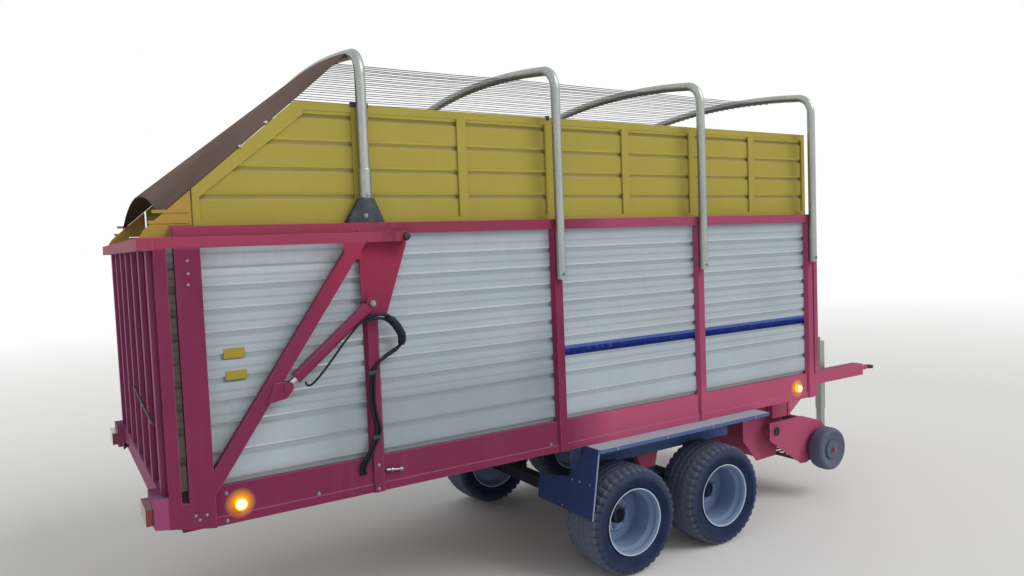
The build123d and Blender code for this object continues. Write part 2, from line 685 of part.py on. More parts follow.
def strut(x0, z0, x1, z1, width, out0, out1):
    """Straight flat bar on the side between two points."""
    length = hypot(x1 - x0, z1 - z0)
    nx, nz = -(z1 - z0) / length * width / 2, (x1 - x0) / length * width / 2
    corners = [(x0 + nx, z0 + nz), (x1 + nx, z1 + nz), (x1 - nx, z1 - nz), (x0 - nx, z0 - nz)]
    return plate(corners, out0, out1)


def gate_side():
    """Tailgate side frame of channels open towards the wall: arm, two posts, foot, corner and long strut."""
    low, high, wall = GATE_LAYER, GATE_LAYER + GATE_TUBE, BEAM_WALL
    arm_low, arm_high = PIVOT_Z - ARM_HEIGHT / 2, PIVOT_Z + ARM_HEIGHT / 2
    rear, front = GATE_REAR_X, WIDE_POST_X + WIDE_POST_WIDTH / 2
    inner = GATE_REAR_X + GATE_WALL_DEPTH
    foot_top = GATE_FOOT_TOP
    shape = side_block(inner, PIVOT_X, low, high, arm_low, arm_high)
    shape += rod((PIVOT_X, outward(low), PIVOT_Z), (PIVOT_X, outward(high), PIVOT_Z), ARM_HEIGHT / 2)
    foot = [(rear, GATE_FOOT_REAR), (front, GATE_FOOT_FRONT), (front, foot_top), (inner, foot_top),
            (inner, GATE_CORNER_TOP), (rear, GATE_CORNER_TOP)]
    shape += plate(foot, low, high)
    shape += strut(STRUT_TOP_X, PIVOT_Z, STRUT_LOW_X, STRUT_LOW_Z, STRUT_WIDTH, low, high)
    bracket = [(STRUT_TOP_X - 100, arm_low + wall), (STRUT_TOP_X - 100, arm_low - 48),
               (STRUT_TOP_X - 60, arm_low - 88), (STRUT_TOP_X - 7, arm_low - 88), (STRUT_TOP_X - 7, arm_low + wall)]
    shape += plate(bracket, high - wall, high)
    angle = atan2(PIVOT_Z - STRUT_LOW_Z, STRUT_TOP_X - STRUT_LOW_X)
    along = (cos(angle), sin(angle))
    top, bottom = STRUT_TOP_X - 70 * along[0], STRUT_LOW_X + 80 * along[0]
    hollow = strut(top, PIVOT_Z - 70 * along[1], bottom, STRUT_LOW_Z + 80 * along[1],
                   STRUT_WIDTH - 2 * wall, low - 1, high - wall)
    hollow += side_block(inner + wall, PIVOT_X - 60, low - 1, high - wall, arm_low + wall, arm_high - wall)
    hollow += plate([(rear + wall, GATE_FOOT_REAR + wall), (front - wall, GATE_FOOT_FRONT + wall + 1),
                     (front - wall, foot_top - wall), (rear + wall, foot_top - wall)], low - 1, high - wall)
    for x, width in ((NARROW_POST_X, NARROW_POST_WIDTH), (WIDE_POST_X, WIDE_POST_WIDTH)):
        shape += side_block(x - width / 2, x + width / 2, low, high, foot_top - 20, arm_low + wall)
        hollow += side_block(x - width / 2 + wall, x + width / 2 - wall, low - 1, high - wall,
                             foot_top + wall, arm_low - wall)
    shape -= hollow
    ear = [(ROD_EYE_X + a, ROD_EYE_Z + b) for a, b in
           ((-105, -58), (-82, -64), (-4, -50), (34, -3), (26, 30), (-13, 34), (-60, 34))]
    eye_gap = 20
    for side in (-1, 1):
        out = CYLINDER_OUT + side * eye_gap
        shape += plate(ear, out, out + side * 10)
        pin_head = out + side * 18
        shape += rod((ROD_EYE_X, outward(out + side * 9), ROD_EYE_Z),
                     (ROD_EYE_X, outward(pin_head), ROD_EYE_Z), 18)
    bore = rod((PIVOT_X, outward(low - 1), PIVOT_Z), (PIVOT_X, outward(high + 1), PIVOT_Z),
               PIVOT_RADIUS + RUNNING)
    return shape - bore


def gate_wall():
    """Tailgate's rear wall: a beam above and below, upright channels, a sheet and the lamps' corners."""
    x0 = GATE_REAR_X
    x1 = x0 + GATE_WALL_DEPTH
    half, wall = HALF_WIDTH + GATE_LAYER + GATE_TUBE, BEAM_WALL
    side_half = half - GATE_TUBE
    tube, tube_end = GATE_TUBE_X, GATE_TUBE_X + GATE_TUBE_DEPTH
    top = PIVOT_Z + ARM_HEIGHT / 2
    beam_low, foot, foot_top = top - GATE_BEAM, GATE_LOW_BEAM, GATE_LOW_BEAM + GATE_LOW_BEAM_HEIGHT
    shape = block(tube_end, tube_end + SHEET, -side_half, side_half, foot_top, GATE_SHEET_TOP)
    for i in range(GATE_TUBE_COUNT):
        y = -GATE_TUBE_REACH + 2 * GATE_TUBE_REACH * i / (GATE_TUBE_COUNT - 1)
        width = GATE_TUBE_WIDTH / 2
        inner = width - wall
        shape += block(tube, tube_end, y - width, y + width, foot_top - wall, beam_low + wall) - block(
            tube + wall, tube_end + 1, y - inner, y + inner, foot_top - 10, beam_low + 10)
    shape += block(x0, x1, -half, half, beam_low, top) - block(
        x0 + wall, x1 + 1, -side_half, side_half, beam_low + wall, top - wall)
    shape += block(tube, tube_end + 4, -side_half, side_half, foot, foot_top) - block(
        tube + wall, tube_end + 5, -side_half + wall, side_half - wall, foot + wall, foot_top - wall)
    z0, z1 = GATE_FOOT_REAR, GATE_CORNER_TOP
    for side in (-1, 1):
        y0, y1 = side * side_half, side * (side_half - GATE_CORNER_WIDTH)
        shape += block(x0, tube + wall, y0, y1, z0, z1) - block(
            x0 + wall, tube + wall, y0 - side * wall, y1 + side * wall, z0 + wall, z1 - wall)
    return shape


def tail_lamp():
    y = outward(-60)
    half = TAIL_LAMP_WIDTH / 2
    foot = GATE_FOOT_REAR + 21
    return block(GATE_REAR_X - 35, GATE_REAR_X, y - half, y + half, foot, foot + 80)


def side_markers():
    lamps = []
    for x in (BODY_REAR_X + MARKER_FROM_REAR, BODY_FRONT_X - MARKER_FROM_FRONT):
        y = outward(-SILL_SET_IN)
        lamps.append(rod((x, y, SILL_BOTTOM + 96), (x, y - 28, SILL_BOTTOM + 96), 32))
    return Compound(children=lamps)


def cylinder_axis(distance):
    """Point on the cylinder's centre line, at a distance from the barrel's pivot towards the eye."""
    length = hypot(ROD_EYE_X - BARREL_PIVOT_X, ROD_EYE_Z - BARREL_PIVOT_Z)
    x = BARREL_PIVOT_X + (ROD_EYE_X - BARREL_PIVOT_X) * distance / length
    z = BARREL_PIVOT_Z + (ROD_EYE_Z - BARREL_PIVOT_Z) * distance / length
    return x, z


def cylinder_barrel():
    y = outward(CYLINDER_OUT)
    (x0, z0), (x1, z1) = cylinder_axis(30), cylinder_axis(BARREL_LENGTH)
    shape = rod((x0, y, z0), (x1, y, z1), BARREL_RADIUS)
    shape += rod((BARREL_PIVOT_X, y - 20, BARREL_PIVOT_Z), (BARREL_PIVOT_X, y + 20, BARREL_PIVOT_Z), 32)
    shape -= rod((BARREL_PIVOT_X, y - 30, BARREL_PIVOT_Z), (BARREL_PIVOT_X, y + 30, BARREL_PIVOT_Z),
                 CYLINDER_PIN + RUNNING)
    (bx0, bz0), (bx1, bz1) = cylinder_axis(60), cylinder_axis(BARREL_LENGTH + 10)
    return shape - rod((bx0, y, bz0), (bx1, y, bz1), ROD_RADIUS + RUNNING)


def cylinder_rod():
    y = outward(CYLINDER_OUT)
    length = hypot(ROD_EYE_X - BARREL_PIVOT_X, ROD_EYE_Z - BARREL_PIVOT_Z)
    (x0, z0), (x1, z1) = cylinder_axis(64), cylinder_axis(length - 18)
    shape = rod((x0, y, z0), (x1, y, z1), ROD_RADIUS)
    return shape + rod((ROD_EYE_X, y - 14, ROD_EYE_Z), (ROD_EYE_X, y + 14, ROD_EYE_Z), 26)


def drawbar():
    """Two side members that run together, a single beam, and the eye's shank."""
    z0 = EYE_Z - DRAWBAR_HEIGHT / 2
    z1 = z0 + DRAWBAR_HEIGHT
    rear = DRAWBAR_REAR_X
    shape = block(DRAWBAR_JOIN_X - 60, EYE_X - 190, -DRAWBAR_WIDTH / 2, DRAWBAR_WIDTH / 2, z0, z1)
    for side in (-1, 1):
        outer, inner = side * (FRAME_RAIL_Y + 40), side * (FRAME_RAIL_Y - 40)
        outline = [(rear, outer), (DRAWBAR_JOIN_X + 120, side * DRAWBAR_WIDTH / 2),
                   (DRAWBAR_JOIN_X + 120, 0), (DRAWBAR_JOIN_X - 120, 0), (rear, inner)]
        face = make_face(Polyline([(x, y, z0) for x, y in outline], close=True))
        shape += extrude(face, amount=DRAWBAR_HEIGHT, dir=(0, 0, 1))
        y = side * FRAME_RAIL_Y
        half = FRAME_RAIL_WIDTH / 2
        shape += block(rear - 190, rear + 40, y - half, y + half, z0, SILL_BOTTOM - FRAME_RAIL_HEIGHT)
    shape += block(GEARBOX_X - 80, GEARBOX_X + 80, -520, 520, EYE_Z, z1)
    shank = rod((EYE_X - 200, 0, EYE_Z), (EYE_X - EYE_OUTER - SEAT, 0, EYE_Z), 24)
    return shape + shank


def hitch_eye():
    ring = Pos(EYE_X, 0, EYE_Z) * Cylinder(EYE_OUTER, EYE_THICKNESS)
    return ring - Pos(EYE_X, 0, EYE_Z) * Cylinder(EYE_BORE, 2 * EYE_THICKNESS)


def jack_sleeve():
    """Square outer tube clamped to the drawbar, with its crank."""
    y = DRAWBAR_WIDTH / 2 + JACK_TUBE / 2 + 20
    half, hollow = JACK_TUBE / 2, JACK_LEG / 2 + 0.3
    z0, z1 = 420, 1150
    shape = block(JACK_X - half, JACK_X + half, y - half, y + half, z0, z1)
    shape -= block(JACK_X - hollow, JACK_X + hollow, y - hollow, y + hollow, z0 - 1, z1 - 12)
    shape += block(JACK_X - 60, JACK_X + 60, DRAWBAR_WIDTH / 2, y - half + 2, EYE_Z - 50, EYE_Z + 50)
    shape += rod((JACK_X, y, z1 - 2), (JACK_X, y, z1 + 40), 12)
    shape += rod((JACK_X, y - 8, z1 + 30), (JACK_X, y + 150, z1 + 30), 9)
    shape += rod((JACK_X, y + 142, z1 + 22), (JACK_X, y + 142, z1 + 110), 9)
    return shape


def jack_leg():
    """Inner leg and foot plate."""
    y = DRAWBAR_WIDTH / 2 + JACK_TUBE / 2 + 20
    half, foot = JACK_LEG / 2, JACK_FOOT / 2
    shape = block(JACK_X - half, JACK_X + half, y - half, y + half, 10, JACK_LEG_TOP)
    return shape + block(JACK_X - foot, JACK_X + foot, y - foot, y + foot, 0, 12)


def rotor_housing():
    """Side cheeks and the curved channel plate that lead from the pickup up to the floor."""
    half = ROTOR_WIDTH / 2 + 20
    tip = ROTOR_CLEAR
    top = SILL_BOTTOM - 20
    shape = None
    for side in (-1, 1):
        outline = [(FLOOR_FRONT_X + SEAT, FLOOR_TOP - 2), (ROTOR_X + 170, top), (ROTOR_X + 200, ROTOR_Z),
                   (ROTOR_X + 120, ROTOR_Z - tip), (ROTOR_X - 120, ROTOR_Z - tip - 6),
                   (FLOOR_FRONT_X + SEAT, ROTOR_Z - 60)]
        face = make_face(Polyline([(px, side * half - 5, pz) for px, pz in outline], close=True))
        cheek = extrude(face, amount=10, dir=(0, 1, 0))
        cheek += rod((ROTOR_X, side * (half - 5), ROTOR_Z), (ROTOR_X, side * PIVOT_BUSH_END, ROTOR_Z),
                     PIVOT_BUSH_RADIUS)
        rail_face = FRAME_RAIL_Y - FRAME_RAIL_WIDTH / 2 - SEAT
        cheek += block(ROTOR_X - 150, ROTOR_X + 150, side * half, side * rail_face,
                       SILL_BOTTOM - FRAME_RAIL_HEIGHT + 12, SILL_BOTTOM - 12)
        cheek -= rod((ROTOR_X, side * half - 300, ROTOR_Z), (ROTOR_X, side * half + 300, ROTOR_Z),
                     SHAFT_RADIUS + RUNNING)
        shape = cheek if shape is None else shape + cheek
    arc = [radians(a) for a in (290, 265, 240, 215, 190, 170)]
    outer = [(ROTOR_X + (tip + 6) * cos(a), ROTOR_Z + (tip + 6) * sin(a)) for a in arc]
    inner = [(ROTOR_X + tip * cos(a), ROTOR_Z + tip * sin(a)) for a in arc]
    rear = FLOOR_FRONT_X + SEAT
    outline = outer + [(rear, FLOOR_TOP - 2), (rear + 6, FLOOR_TOP - 2)] + inner[::-1]
    face = make_face(Polyline([(px, -half, pz) for px, pz in outline], close=True))
    return shape + extrude(face, amount=2 * half, dir=(0, 1, 0))


def feed_rotor():
    """Tube with star-shaped feed tines in a spiral."""
    half = ROTOR_WIDTH / 2
    shape = rod((ROTOR_X, -half, ROTOR_Z), (ROTOR_X, half, ROTOR_Z), ROTOR_TUBE_RADIUS)
    shape += rod((ROTOR_X, -PIVOT_BUSH_END - 3, ROTOR_Z), (ROTOR_X, GUARD_Y - 2, ROTOR_Z), SHAFT_RADIUS)
    for i in range(ROTOR_STARS):
        y = -half + 50 + (2 * half - 100) * i / (ROTOR_STARS - 1)
        for k in range(3):
            angle = radians(k * 120 + i * 26)
            tip = (ROTOR_X + ROTOR_TIP_RADIUS * cos(angle), ROTOR_Z + ROTOR_TIP_RADIUS * sin(angle))
            left = (ROTOR_X + 60 * cos(angle + 1.0), ROTOR_Z + 60 * sin(angle + 1.0))
            right = (ROTOR_X + 60 * cos(angle - 1.0), ROTOR_Z + 60 * sin(angle - 1.0))
            face = make_face(Polyline([(px, y - 5, pz) for px, pz in (left, tip, right)], close=True))
            shape += extrude(face, amount=10, dir=(0, 1, 0))
    return shape


def pickup_frame():
    """Side plates on the rotor's axis, cross tube and wheel arms."""
    half = REEL_WIDTH / 2 + 10
    shape = None
    for side in (-1, 1):
        outline = [(ROTOR_X - 80, ROTOR_Z + 80), (ROTOR_X + 60, ROTOR_Z + 80), (REEL_X - 200, REEL_Z + 250),
                   (REEL_X + 60, REEL_Z + 170), (REEL_X + 170, REEL_Z + 60), (REEL_X + 120, REEL_Z - 90),
                   (REEL_X - 150, REEL_Z - 170), (REEL_X - 225, REEL_Z - 165), (ROTOR_X - 80, ROTOR_Z - 70)]
        face = make_face(Polyline([(px, side * half - 4, pz) for px, pz in outline], close=True))
        cheek = extrude(face, amount=8, dir=(0, 1, 0))
        y0, y1 = side * half - 20, side * half + 20
        cheek -= rod((REEL_X, y0, REEL_Z), (REEL_X, y1, REEL_Z), REEL_SHAFT + RUNNING)
        cheek -= rod((ROTOR_X, y0, ROTOR_Z), (ROTOR_X, y1, ROTOR_Z), PIVOT_BUSH_RADIUS + RUNNING)
        shape = cheek if shape is None else shape + cheek
        shape += rod((GAUGE_WHEEL_X, side * (half - 4), GAUGE_WHEEL_Z),
                     (GAUGE_WHEEL_X, side * (half + 180), GAUGE_WHEEL_Z), GAUGE_WHEEL_PIN)
    shape += rod((REEL_X - 200, -half, REEL_Z + 215), (REEL_X - 200, half, REEL_Z + 215), 28)
    return shape


def pickup_bands():
    """Stripper bands round the reel, one between each two tines, on an upper and a lower cross tube."""
    half = REEL_WIDTH / 2 + 6
    radius = REEL_BAND_RADIUS
    low = (REEL_X + BAND_TUBE_REACH * cos(radians(218)), REEL_Z + BAND_TUBE_REACH * sin(radians(218)))
    top = (REEL_X - 200, REEL_Z + 215)
    shape = rod((low[0], -half, low[1]), (low[0], half, low[1]), 14)
    angles = [radians(a) for a in range(-105, 121, 15)]
    rim_points = [(REEL_X + radius * cos(a), REEL_Z + radius * sin(a)) for a in angles]
    under = radius - 3
    back_points = [(REEL_X + under * cos(a), REEL_Z + under * sin(a)) for a in reversed(angles)]
    seat = (top[0] + 18.2, top[1] - 21.7)
    outline = [low] + rim_points + [seat, (seat[0] - 3, seat[1] - 3)] + back_points
    outline.append((low[0] + 1, low[1] + 3))
    for i in range(TINE_ROWS - 1):
        y = tine_y(i) + TINE_PITCH / 2 - BAND_WIDTH / 2
        face = make_face(Polyline([(px, y, pz) for px, pz in outline], close=True))
        shape += extrude(face, amount=BAND_WIDTH, dir=(0, 1, 0))
    return shape


def tine_y(row):
    return -REEL_HALF + 36 + TINE_PITCH * row


def pickup_reel():
    """Tined reel: shaft, four tine bars on end discs, and rows of spring tines."""
    half = REEL_HALF
    shape = rod((REEL_X, -half - 40, REEL_Z), (REEL_X, half + 40, REEL_Z), REEL_SHAFT)
    bar_radius = 100
    for y in (-half, 0, half - 8):
        shape += rod((REEL_X, y, REEL_Z), (REEL_X, y + 8, REEL_Z), bar_radius + 20)
    for k in range(4):
        angle = radians(45 + 90 * k)
        x, z = REEL_X + bar_radius * cos(angle), REEL_Z + bar_radius * sin(angle)
        shape += block(x - 13, x + 13, -half, half, z - 13, z + 13)
        tip_x = REEL_X + REEL_TIP_RADIUS * cos(angle - 0.3)
        tip_z = REEL_Z + REEL_TIP_RADIUS * sin(angle - 0.3)
        for row in range(TINE_ROWS):
            shape += rod((x, tine_y(row), z), (tip_x, tine_y(row), tip_z), 4)
    return shape


def gauge_wheel():
    half = GAUGE_WHEEL_WIDTH / 2
    r = GAUGE_WHEEL_RADIUS
    y = -(REEL_WIDTH / 2 + 30 + half)
    bore = GAUGE_WHEEL_PIN + RUNNING
    points = [
        (bore, -half + 10), (80, -half + 10), (80, -half + 26), (100, -half + 20), (r - 30, -half),
        (r - 8, -half + 14), (r, -half + 40), (r, half - 40), (r - 8, half - 14), (r - 30, half),
        (100, half - 20), (80, half - 26), (80, half - 10), (bore, half - 10),
    ]
    return ring_profile(points, GAUGE_WHEEL_X, y, GAUGE_WHEEL_Z)


def drive_gearbox():
    """Gearbox on the drawbar with its input shaft, and the line shaft back to the rotor's side."""
    x, z = GEARBOX_X, EYE_Z + DRAWBAR_HEIGHT / 2
    shape = block(x - 140, x + 140, -120, 120, z, z + 210)
    shape += rod((x + 130, 0, z + 110), (x + 200, 0, z + 110), 60)
    shape += rod((x + 190, 0, z + 110), (x + 290, 0, z + 110), 17.5)
    return shape + rod((x, 100, z + 110), (x, GUARD_Y - SEAT, z + 110), 30)


def drive_guard():
    """Closed chain case on the left from the cross shaft down to the rotor."""
    y0 = GUARD_Y
    z = EYE_Z + DRAWBAR_HEIGHT / 2 + 110
    radius = 90
    shape = rod((GEARBOX_X, y0, z), (GEARBOX_X, y0 + 60, z), radius)
    shape += rod((ROTOR_X, y0, ROTOR_Z), (ROTOR_X, y0 + 60, ROTOR_Z), radius)
    length = hypot(GEARBOX_X - ROTOR_X, z - ROTOR_Z)
    nx, nz = -(z - ROTOR_Z) / length * radius, (GEARBOX_X - ROTOR_X) / length * radius
    outline = [(ROTOR_X + nx, ROTOR_Z + nz), (GEARBOX_X + nx, z + nz), (GEARBOX_X - nx, z - nz),
               (ROTOR_X - nx, ROTOR_Z - nz)]
    face = make_face(Polyline([(px, y0, pz) for px, pz in outline], close=True))
    return shape + extrude(face, amount=60, dir=(0, 1, 0))


save(chassis_frame(), "chassis_frame")
save(bed_floor(), "bed_floor")
save(scraper_floor(), "scraper_floor")
save(both_sides(sill()), "sills")
save(both_sides(wall_panel()), "wall_panels")
save(both_sides(wall_posts()), "wall_posts")
save(both_sides(top_rail()), "top_rails")
save(both_sides(hinge_gusset()), "hinge_gussets")
save(front_wall(), "front_wall")
save(front_grille(), "front_grille")
save(both_sides(extension()), "side_extensions")
save(roof_bows(), "roof_bows")
save(both_sides(bow_boot()), "bow_boots")
save(roof_cords(), "roof_cords")
save(rear_cover(), "rear_cover")
save(both_sides(fender()), "fenders")
save(both_sides(mud_flap()), "mud_flaps")
save(both_sides(bogie_spring()), "bogie_springs")
save(Compound(children=[axle(REAR_AXLE_X), axle(FRONT_AXLE_X)]), "axles")
wheel_tyre, wheel_rim = tyre(), rim()
for place, axle_x in (("rear", REAR_AXLE_X), ("front", FRONT_AXLE_X)):
    save_pair(Pos(axle_x, 0, 0) * wheel_tyre, f"tyre_{place}")
    save_pair(Pos(axle_x, 0, 0) * wheel_rim, f"rim_{place}")
save(both_sides(side_markers()), "side_markers")
save(both_sides(gate_side()), "gate_sides")
save(gate_wall(), "gate_wall")
save(both_sides(gate_wing()), "gate_wings")
save(both_sides(tail_lamp()), "tail_lamps")
save_pair(cylinder_barrel(), "cylinder_barrel")
save_pair(cylinder_rod(), "cylinder_rod")
save(drawbar(), "drawbar")
save(hitch_eye(), "hitch_eye")
save(jack_sleeve(), "jack_sleeve")
save(jack_leg(), "jack_leg")
save(rotor_housing(), "rotor_housing")
save(feed_rotor(), "feed_rotor")
save(pickup_frame(), "pickup_frame")
save(pickup_bands(), "pickup_bands")
save(pickup_reel(), "pickup_reel")
save_pair(gauge_wheel(), "gauge_wheel")
save(drive_gearbox(), "drive_gearbox")
save(drive_guard(), "drive_guard")
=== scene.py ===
"""Looks of the self-loading hay wagon: finishes, tyres, roof cords, hoses, small fittings, floor and light.

Metres, X forward, Y to the left, Z up, the ground at Z 0. The right side is the left one's mirror image.
"""

import bpy
import numpy as np
from mathutils import Matrix


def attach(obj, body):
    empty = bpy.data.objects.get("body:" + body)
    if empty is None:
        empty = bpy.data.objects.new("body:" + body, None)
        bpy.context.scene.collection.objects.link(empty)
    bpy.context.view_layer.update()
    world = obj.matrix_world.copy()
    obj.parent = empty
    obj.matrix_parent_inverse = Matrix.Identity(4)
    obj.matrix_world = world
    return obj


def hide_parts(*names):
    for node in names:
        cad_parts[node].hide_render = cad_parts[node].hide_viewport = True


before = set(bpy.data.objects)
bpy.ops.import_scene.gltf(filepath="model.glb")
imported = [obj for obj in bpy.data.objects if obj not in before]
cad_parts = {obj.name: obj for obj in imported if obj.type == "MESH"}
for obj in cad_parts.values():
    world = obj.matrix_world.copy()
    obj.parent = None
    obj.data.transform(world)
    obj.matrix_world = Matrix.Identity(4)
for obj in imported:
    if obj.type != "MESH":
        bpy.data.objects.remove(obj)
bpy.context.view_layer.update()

SIDES = {"right": -1, "left": 1}
AXLES_X = {"rear": -0.721, "front": 0.159}
AXLE_Z = 0.374
WHEEL_Y = 0.945
POSTS_X = (-1.235, 0.052, 1.310)
TAILGATE_PIVOT = (-2.323, 2.380)
BARREL_PIVOT = (-2.542, 2.017)
GREASE = (-2.375, 2.365)

# Seen from the side: middle x and z between two like things, and how far ahead and behind they lie
WHEELS = (-0.281, AXLE_Z, 0.440)
SIDE_LAMPS = (-1.0685, 1.038, 2.2105)

# The ribbed sheets' crests, measured from the wagon's middle plane, and the white sheet's stripe and painted
# shade lines
WHITE_CREST_Y = 0.987
YELLOW_CREST_Y = 0.934
STRIPE_Z = (1.562, 1.632)
STRIPE_PALE_Z = 1.610
STRIPE_REAR_X = -1.199
SHADE_LINE_Z = 1.5045
SHADE_LINE_GAP = 0.117
LOWEST_SHADE_LINE_Z = 1.49


def put(name, data):
    """A new object at the origin, unturned."""
    made = bpy.data.objects.new(name, data)
    bpy.context.scene.collection.objects.link(made)
    return made


def stand(across, up, back, place):
    """Matrix of a camera or lamp: its X points across, its Y up and its Z back from what it is turned to."""
    return Matrix([[across[i], up[i], back[i], place[i]] for i in range(3)] + [[0, 0, 0, 1]])


# Camera, solved from the wagon's straight edges

SENSOR_WIDTH = 36.0
FOCAL_LENGTH_IN_WIDTHS = 755.0 / 1024
ACROSS = np.array([0.8468092, -0.5304500, -0.0392038])
DOWN = np.array([-0.0635256, -0.0276831, -0.9975962])
AHEAD = np.array([0.5280896, 0.8472641, -0.0571395])
CAMERA_PLACE = (-4.0763, -5.0004, 2.3078)

camera_data = bpy.data.cameras.new("camera")
camera_data.sensor_width = SENSOR_WIDTH
camera_data.lens = FOCAL_LENGTH_IN_WIDTHS * SENSOR_WIDTH
camera = put("camera", camera_data)
camera.matrix_world = stand(ACROSS, -DOWN, -AHEAD, CAMERA_PLACE)
bpy.context.scene.camera = camera


# What the finishes are made of


def linear(hex_colour):
    """Linear RGBA of an sRGB hex value: c / 12.92 up to 0.04045, above it ((c + 0.055) / 1.055) to the
    power 2.4."""
    parts = [int(hex_colour[i:i + 2], 16) / 255 for i in (1, 3, 5)]
    return [c / 12.92 if c <= 0.04045 else ((c + 0.055) / 1.055) ** 2.4 for c in parts] + [1.0]


def add(tree, kind, inputs=(), out=0, **settings):
    """Adds one shader node and returns its output out. Settings are the node's own properties. Inputs go to
    its sockets in order or by name, each a number, a vector, a hex colour or another node's output."""
    made = tree.nodes.new("ShaderNode" + kind)
    for name, value in settings.items():
        setattr(made, name, value)
    pairs = inputs.items() if isinstance(inputs, dict) else enumerate(inputs)
    for key, value in pairs:
        if isinstance(value, bpy.types.NodeSocket):
            tree.links.new(value, made.inputs[key])
        else:
            made.inputs[key].default_value = linear(value) if isinstance(value, str) else value
    return made.outputs[out] if len(made.outputs) else None


def start(name):
    """A new material: the material, its empty tree and its Object coordinates."""
    made = bpy.data.materials.new(name)
    made.use_nodes = True
    made.node_tree.nodes.clear()
    return made, made.node_tree, add(made.node_tree, "TexCoord", out="Object")


def surface(tree, **inputs):
    """Ends a tree with a Principled shader. Each input has its socket's name, underscores for spaces."""
    sockets = {name.replace("_", " "): value for name, value in inputs.items()}
    add(tree, "OutputMaterial", {"Surface": add(tree, "BsdfPrincipled", sockets)})


def lumps(tree, place, size, detail=3.0, stretch=(1, 1, 1)):
    """Cloudy pattern: fractal noise with lumps about size metres across, times stretch along each axis."""
    scaled = add(tree, "Mapping", {"Vector": place, "Scale": [1 / (size * s) for s in stretch]})
    return add(tree, "TexNoise", {"Vector": scaled, "Scale": 1.0, "Detail": detail, "Roughness": 0.55}, "Fac")


def stripes(tree, place, gap, waver=0.0):
    """Soft stripes across the wagon, one every gap metres: the wave texture's own period is pi / 10."""
    wave = {"Vector": place, "Scale": np.pi / 10 / gap, "Distortion": waver}
    return add(tree, "TexWave", wave, "Fac", bands_direction="X")


def zone(tree, *ramps):
    """Share of a zone: the product of ramps, each held at its ends. A ramp is a value, where it starts and
    ends, and its shares there, 0 and 1 where they aren't given."""
    share = add(tree, "MapRange", ramps[0])
    for ramp in ramps[1:]:
        share = add(tree, "Math", (share, add(tree, "MapRange", ramp)), operation="MULTIPLY")
    return share


def step(value, edge, rise=1):
    """Ramp that rises within 0.0002 of an edge, or falls there where rise is -1."""
    return value, edge - 0.0002 * rise, edge + 0.0002 * rise


def coats(tree, base, *layers):
    """Colour over colour: base * (1 - share) + colour * share for each (share, colour) in turn."""
    for share, colour in layers:
        base = add(tree, "Mix", {0: share, 6: base, 7: colour}, 2, data_type="RGBA")
    return base


def distance(tree, place, middle_x, middle_z, reach=0.0):
    """Distance, seen from the side, to the nearer of two points reach metres ahead of and behind a middle:
    the length of (|x - middle_x| - reach, z - middle_z)."""
    apart = add(tree, "VectorMath", (place, (middle_x, 0, middle_z)), operation="SUBTRACT")
    apart = add(tree, "VectorMath", (apart,), operation="ABSOLUTE")
    apart = add(tree, "VectorMath", (apart, (reach, 0, 0)), operation="SUBTRACT")
    apart = add(tree, "VectorMath", (apart, (1, 0, 1)), operation="MULTIPLY")
    return add(tree, "VectorMath", (apart,), "Value", operation="LENGTH")


def parts_of(tree, place):
    """X, Z, and the distance |y| from the wagon's middle plane."""
    x, y, z = add(tree, "SeparateXYZ", (place,)).node.outputs
    return x, z, add(tree, "Math", (y,), operation="ABSOLUTE")


def facing_up(tree):
    """Height of the surface's direction: 1 on top, 0 on a wall, -1 beneath."""
    return add(tree, "SeparateXYZ", (add(tree, "NewGeometry", out="Normal"),), "Z")


def relief(tree, radius, bump=None, height=0.0):
    """Surface direction with sharp edges rounded by radius metres, and a bump height metres high on it."""
    rounded = add(tree, "Bevel", {"Radius": radius}, samples=4)
    if bump is None:
        return rounded
    return add(tree, "Bump", {"Height": bump, "Normal": rounded, "Distance": height, "Strength": 1.0})


# Where single finishes are lighter, darker or worn. Each takes the base colour and returns the new one.


def red_painted_light_and_grease(tree, place, base):
    """Red with painted light: lighter on the front half, the upper parts behind the third post and the top
    rails, where more light falls, and bluer on the tailgate's rear edge, as in shade. Greasy at the
    tailgate's pivot, with a painted glow of the side lamp on the sill and painted highlights on sharp edges.
    """
    x, z, outward = parts_of(tree, place)
    front_lit_red = coats(tree, "#ad5370", (zone(tree, (z, 1.15, 1.30)), "#9c4a68"))
    rail_lit_red = coats(tree, "#984259", (zone(tree, (x, -2.34, -2.30)), "#8a3c50"))
    behind_third_post = (x, -1.6, -0.9, 1.0, 0.0)
    grease = distance(tree, place, *GREASE)
    lamp = distance(tree, place, *SIDE_LAMPS)
    rounded = relief(tree, 0.004)
    flat = add(tree, "NewGeometry", out="Normal")
    same = add(tree, "VectorMath", (rounded, flat), "Value", operation="DOT_PRODUCT")
    return coats(
        tree, base,
        # Painted light: the front half, the arms and hinges and the top rails lighter, where more light
        # falls, and the tailgate's rear edge bluer, as in shade
        (zone(tree, (x, -1.18, -0.80)), front_lit_red),
        (zone(tree, (x, -3.62, -3.63)), "#8e466a"),
        (zone(tree, (z, 1.75, 2.30), (x, -3.05, -2.70), behind_third_post), "#98344e"),
        (zone(tree, (z, 2.345, 2.360), behind_third_post), rail_lit_red),
        # Grease, in spots
        (zone(tree, (grease, 0.03, 0.16, 0.5, 0.0), (lumps(tree, place, 0.05), 0.35, 0.62)), "#3f2230"),
        # The lamp's glow, on the sill's outer face only
        (zone(tree, (lamp, 0.038, 0.080, 0.85, 0.0), (outward, 1.0012, 1.0018)), "#f0aa30"),
        # Painted highlight on edges, where the rounded surface turns away from the flat one
        (zone(tree, (same, 0.997, 0.94, 0.0, 0.55)), "#c46c86"))


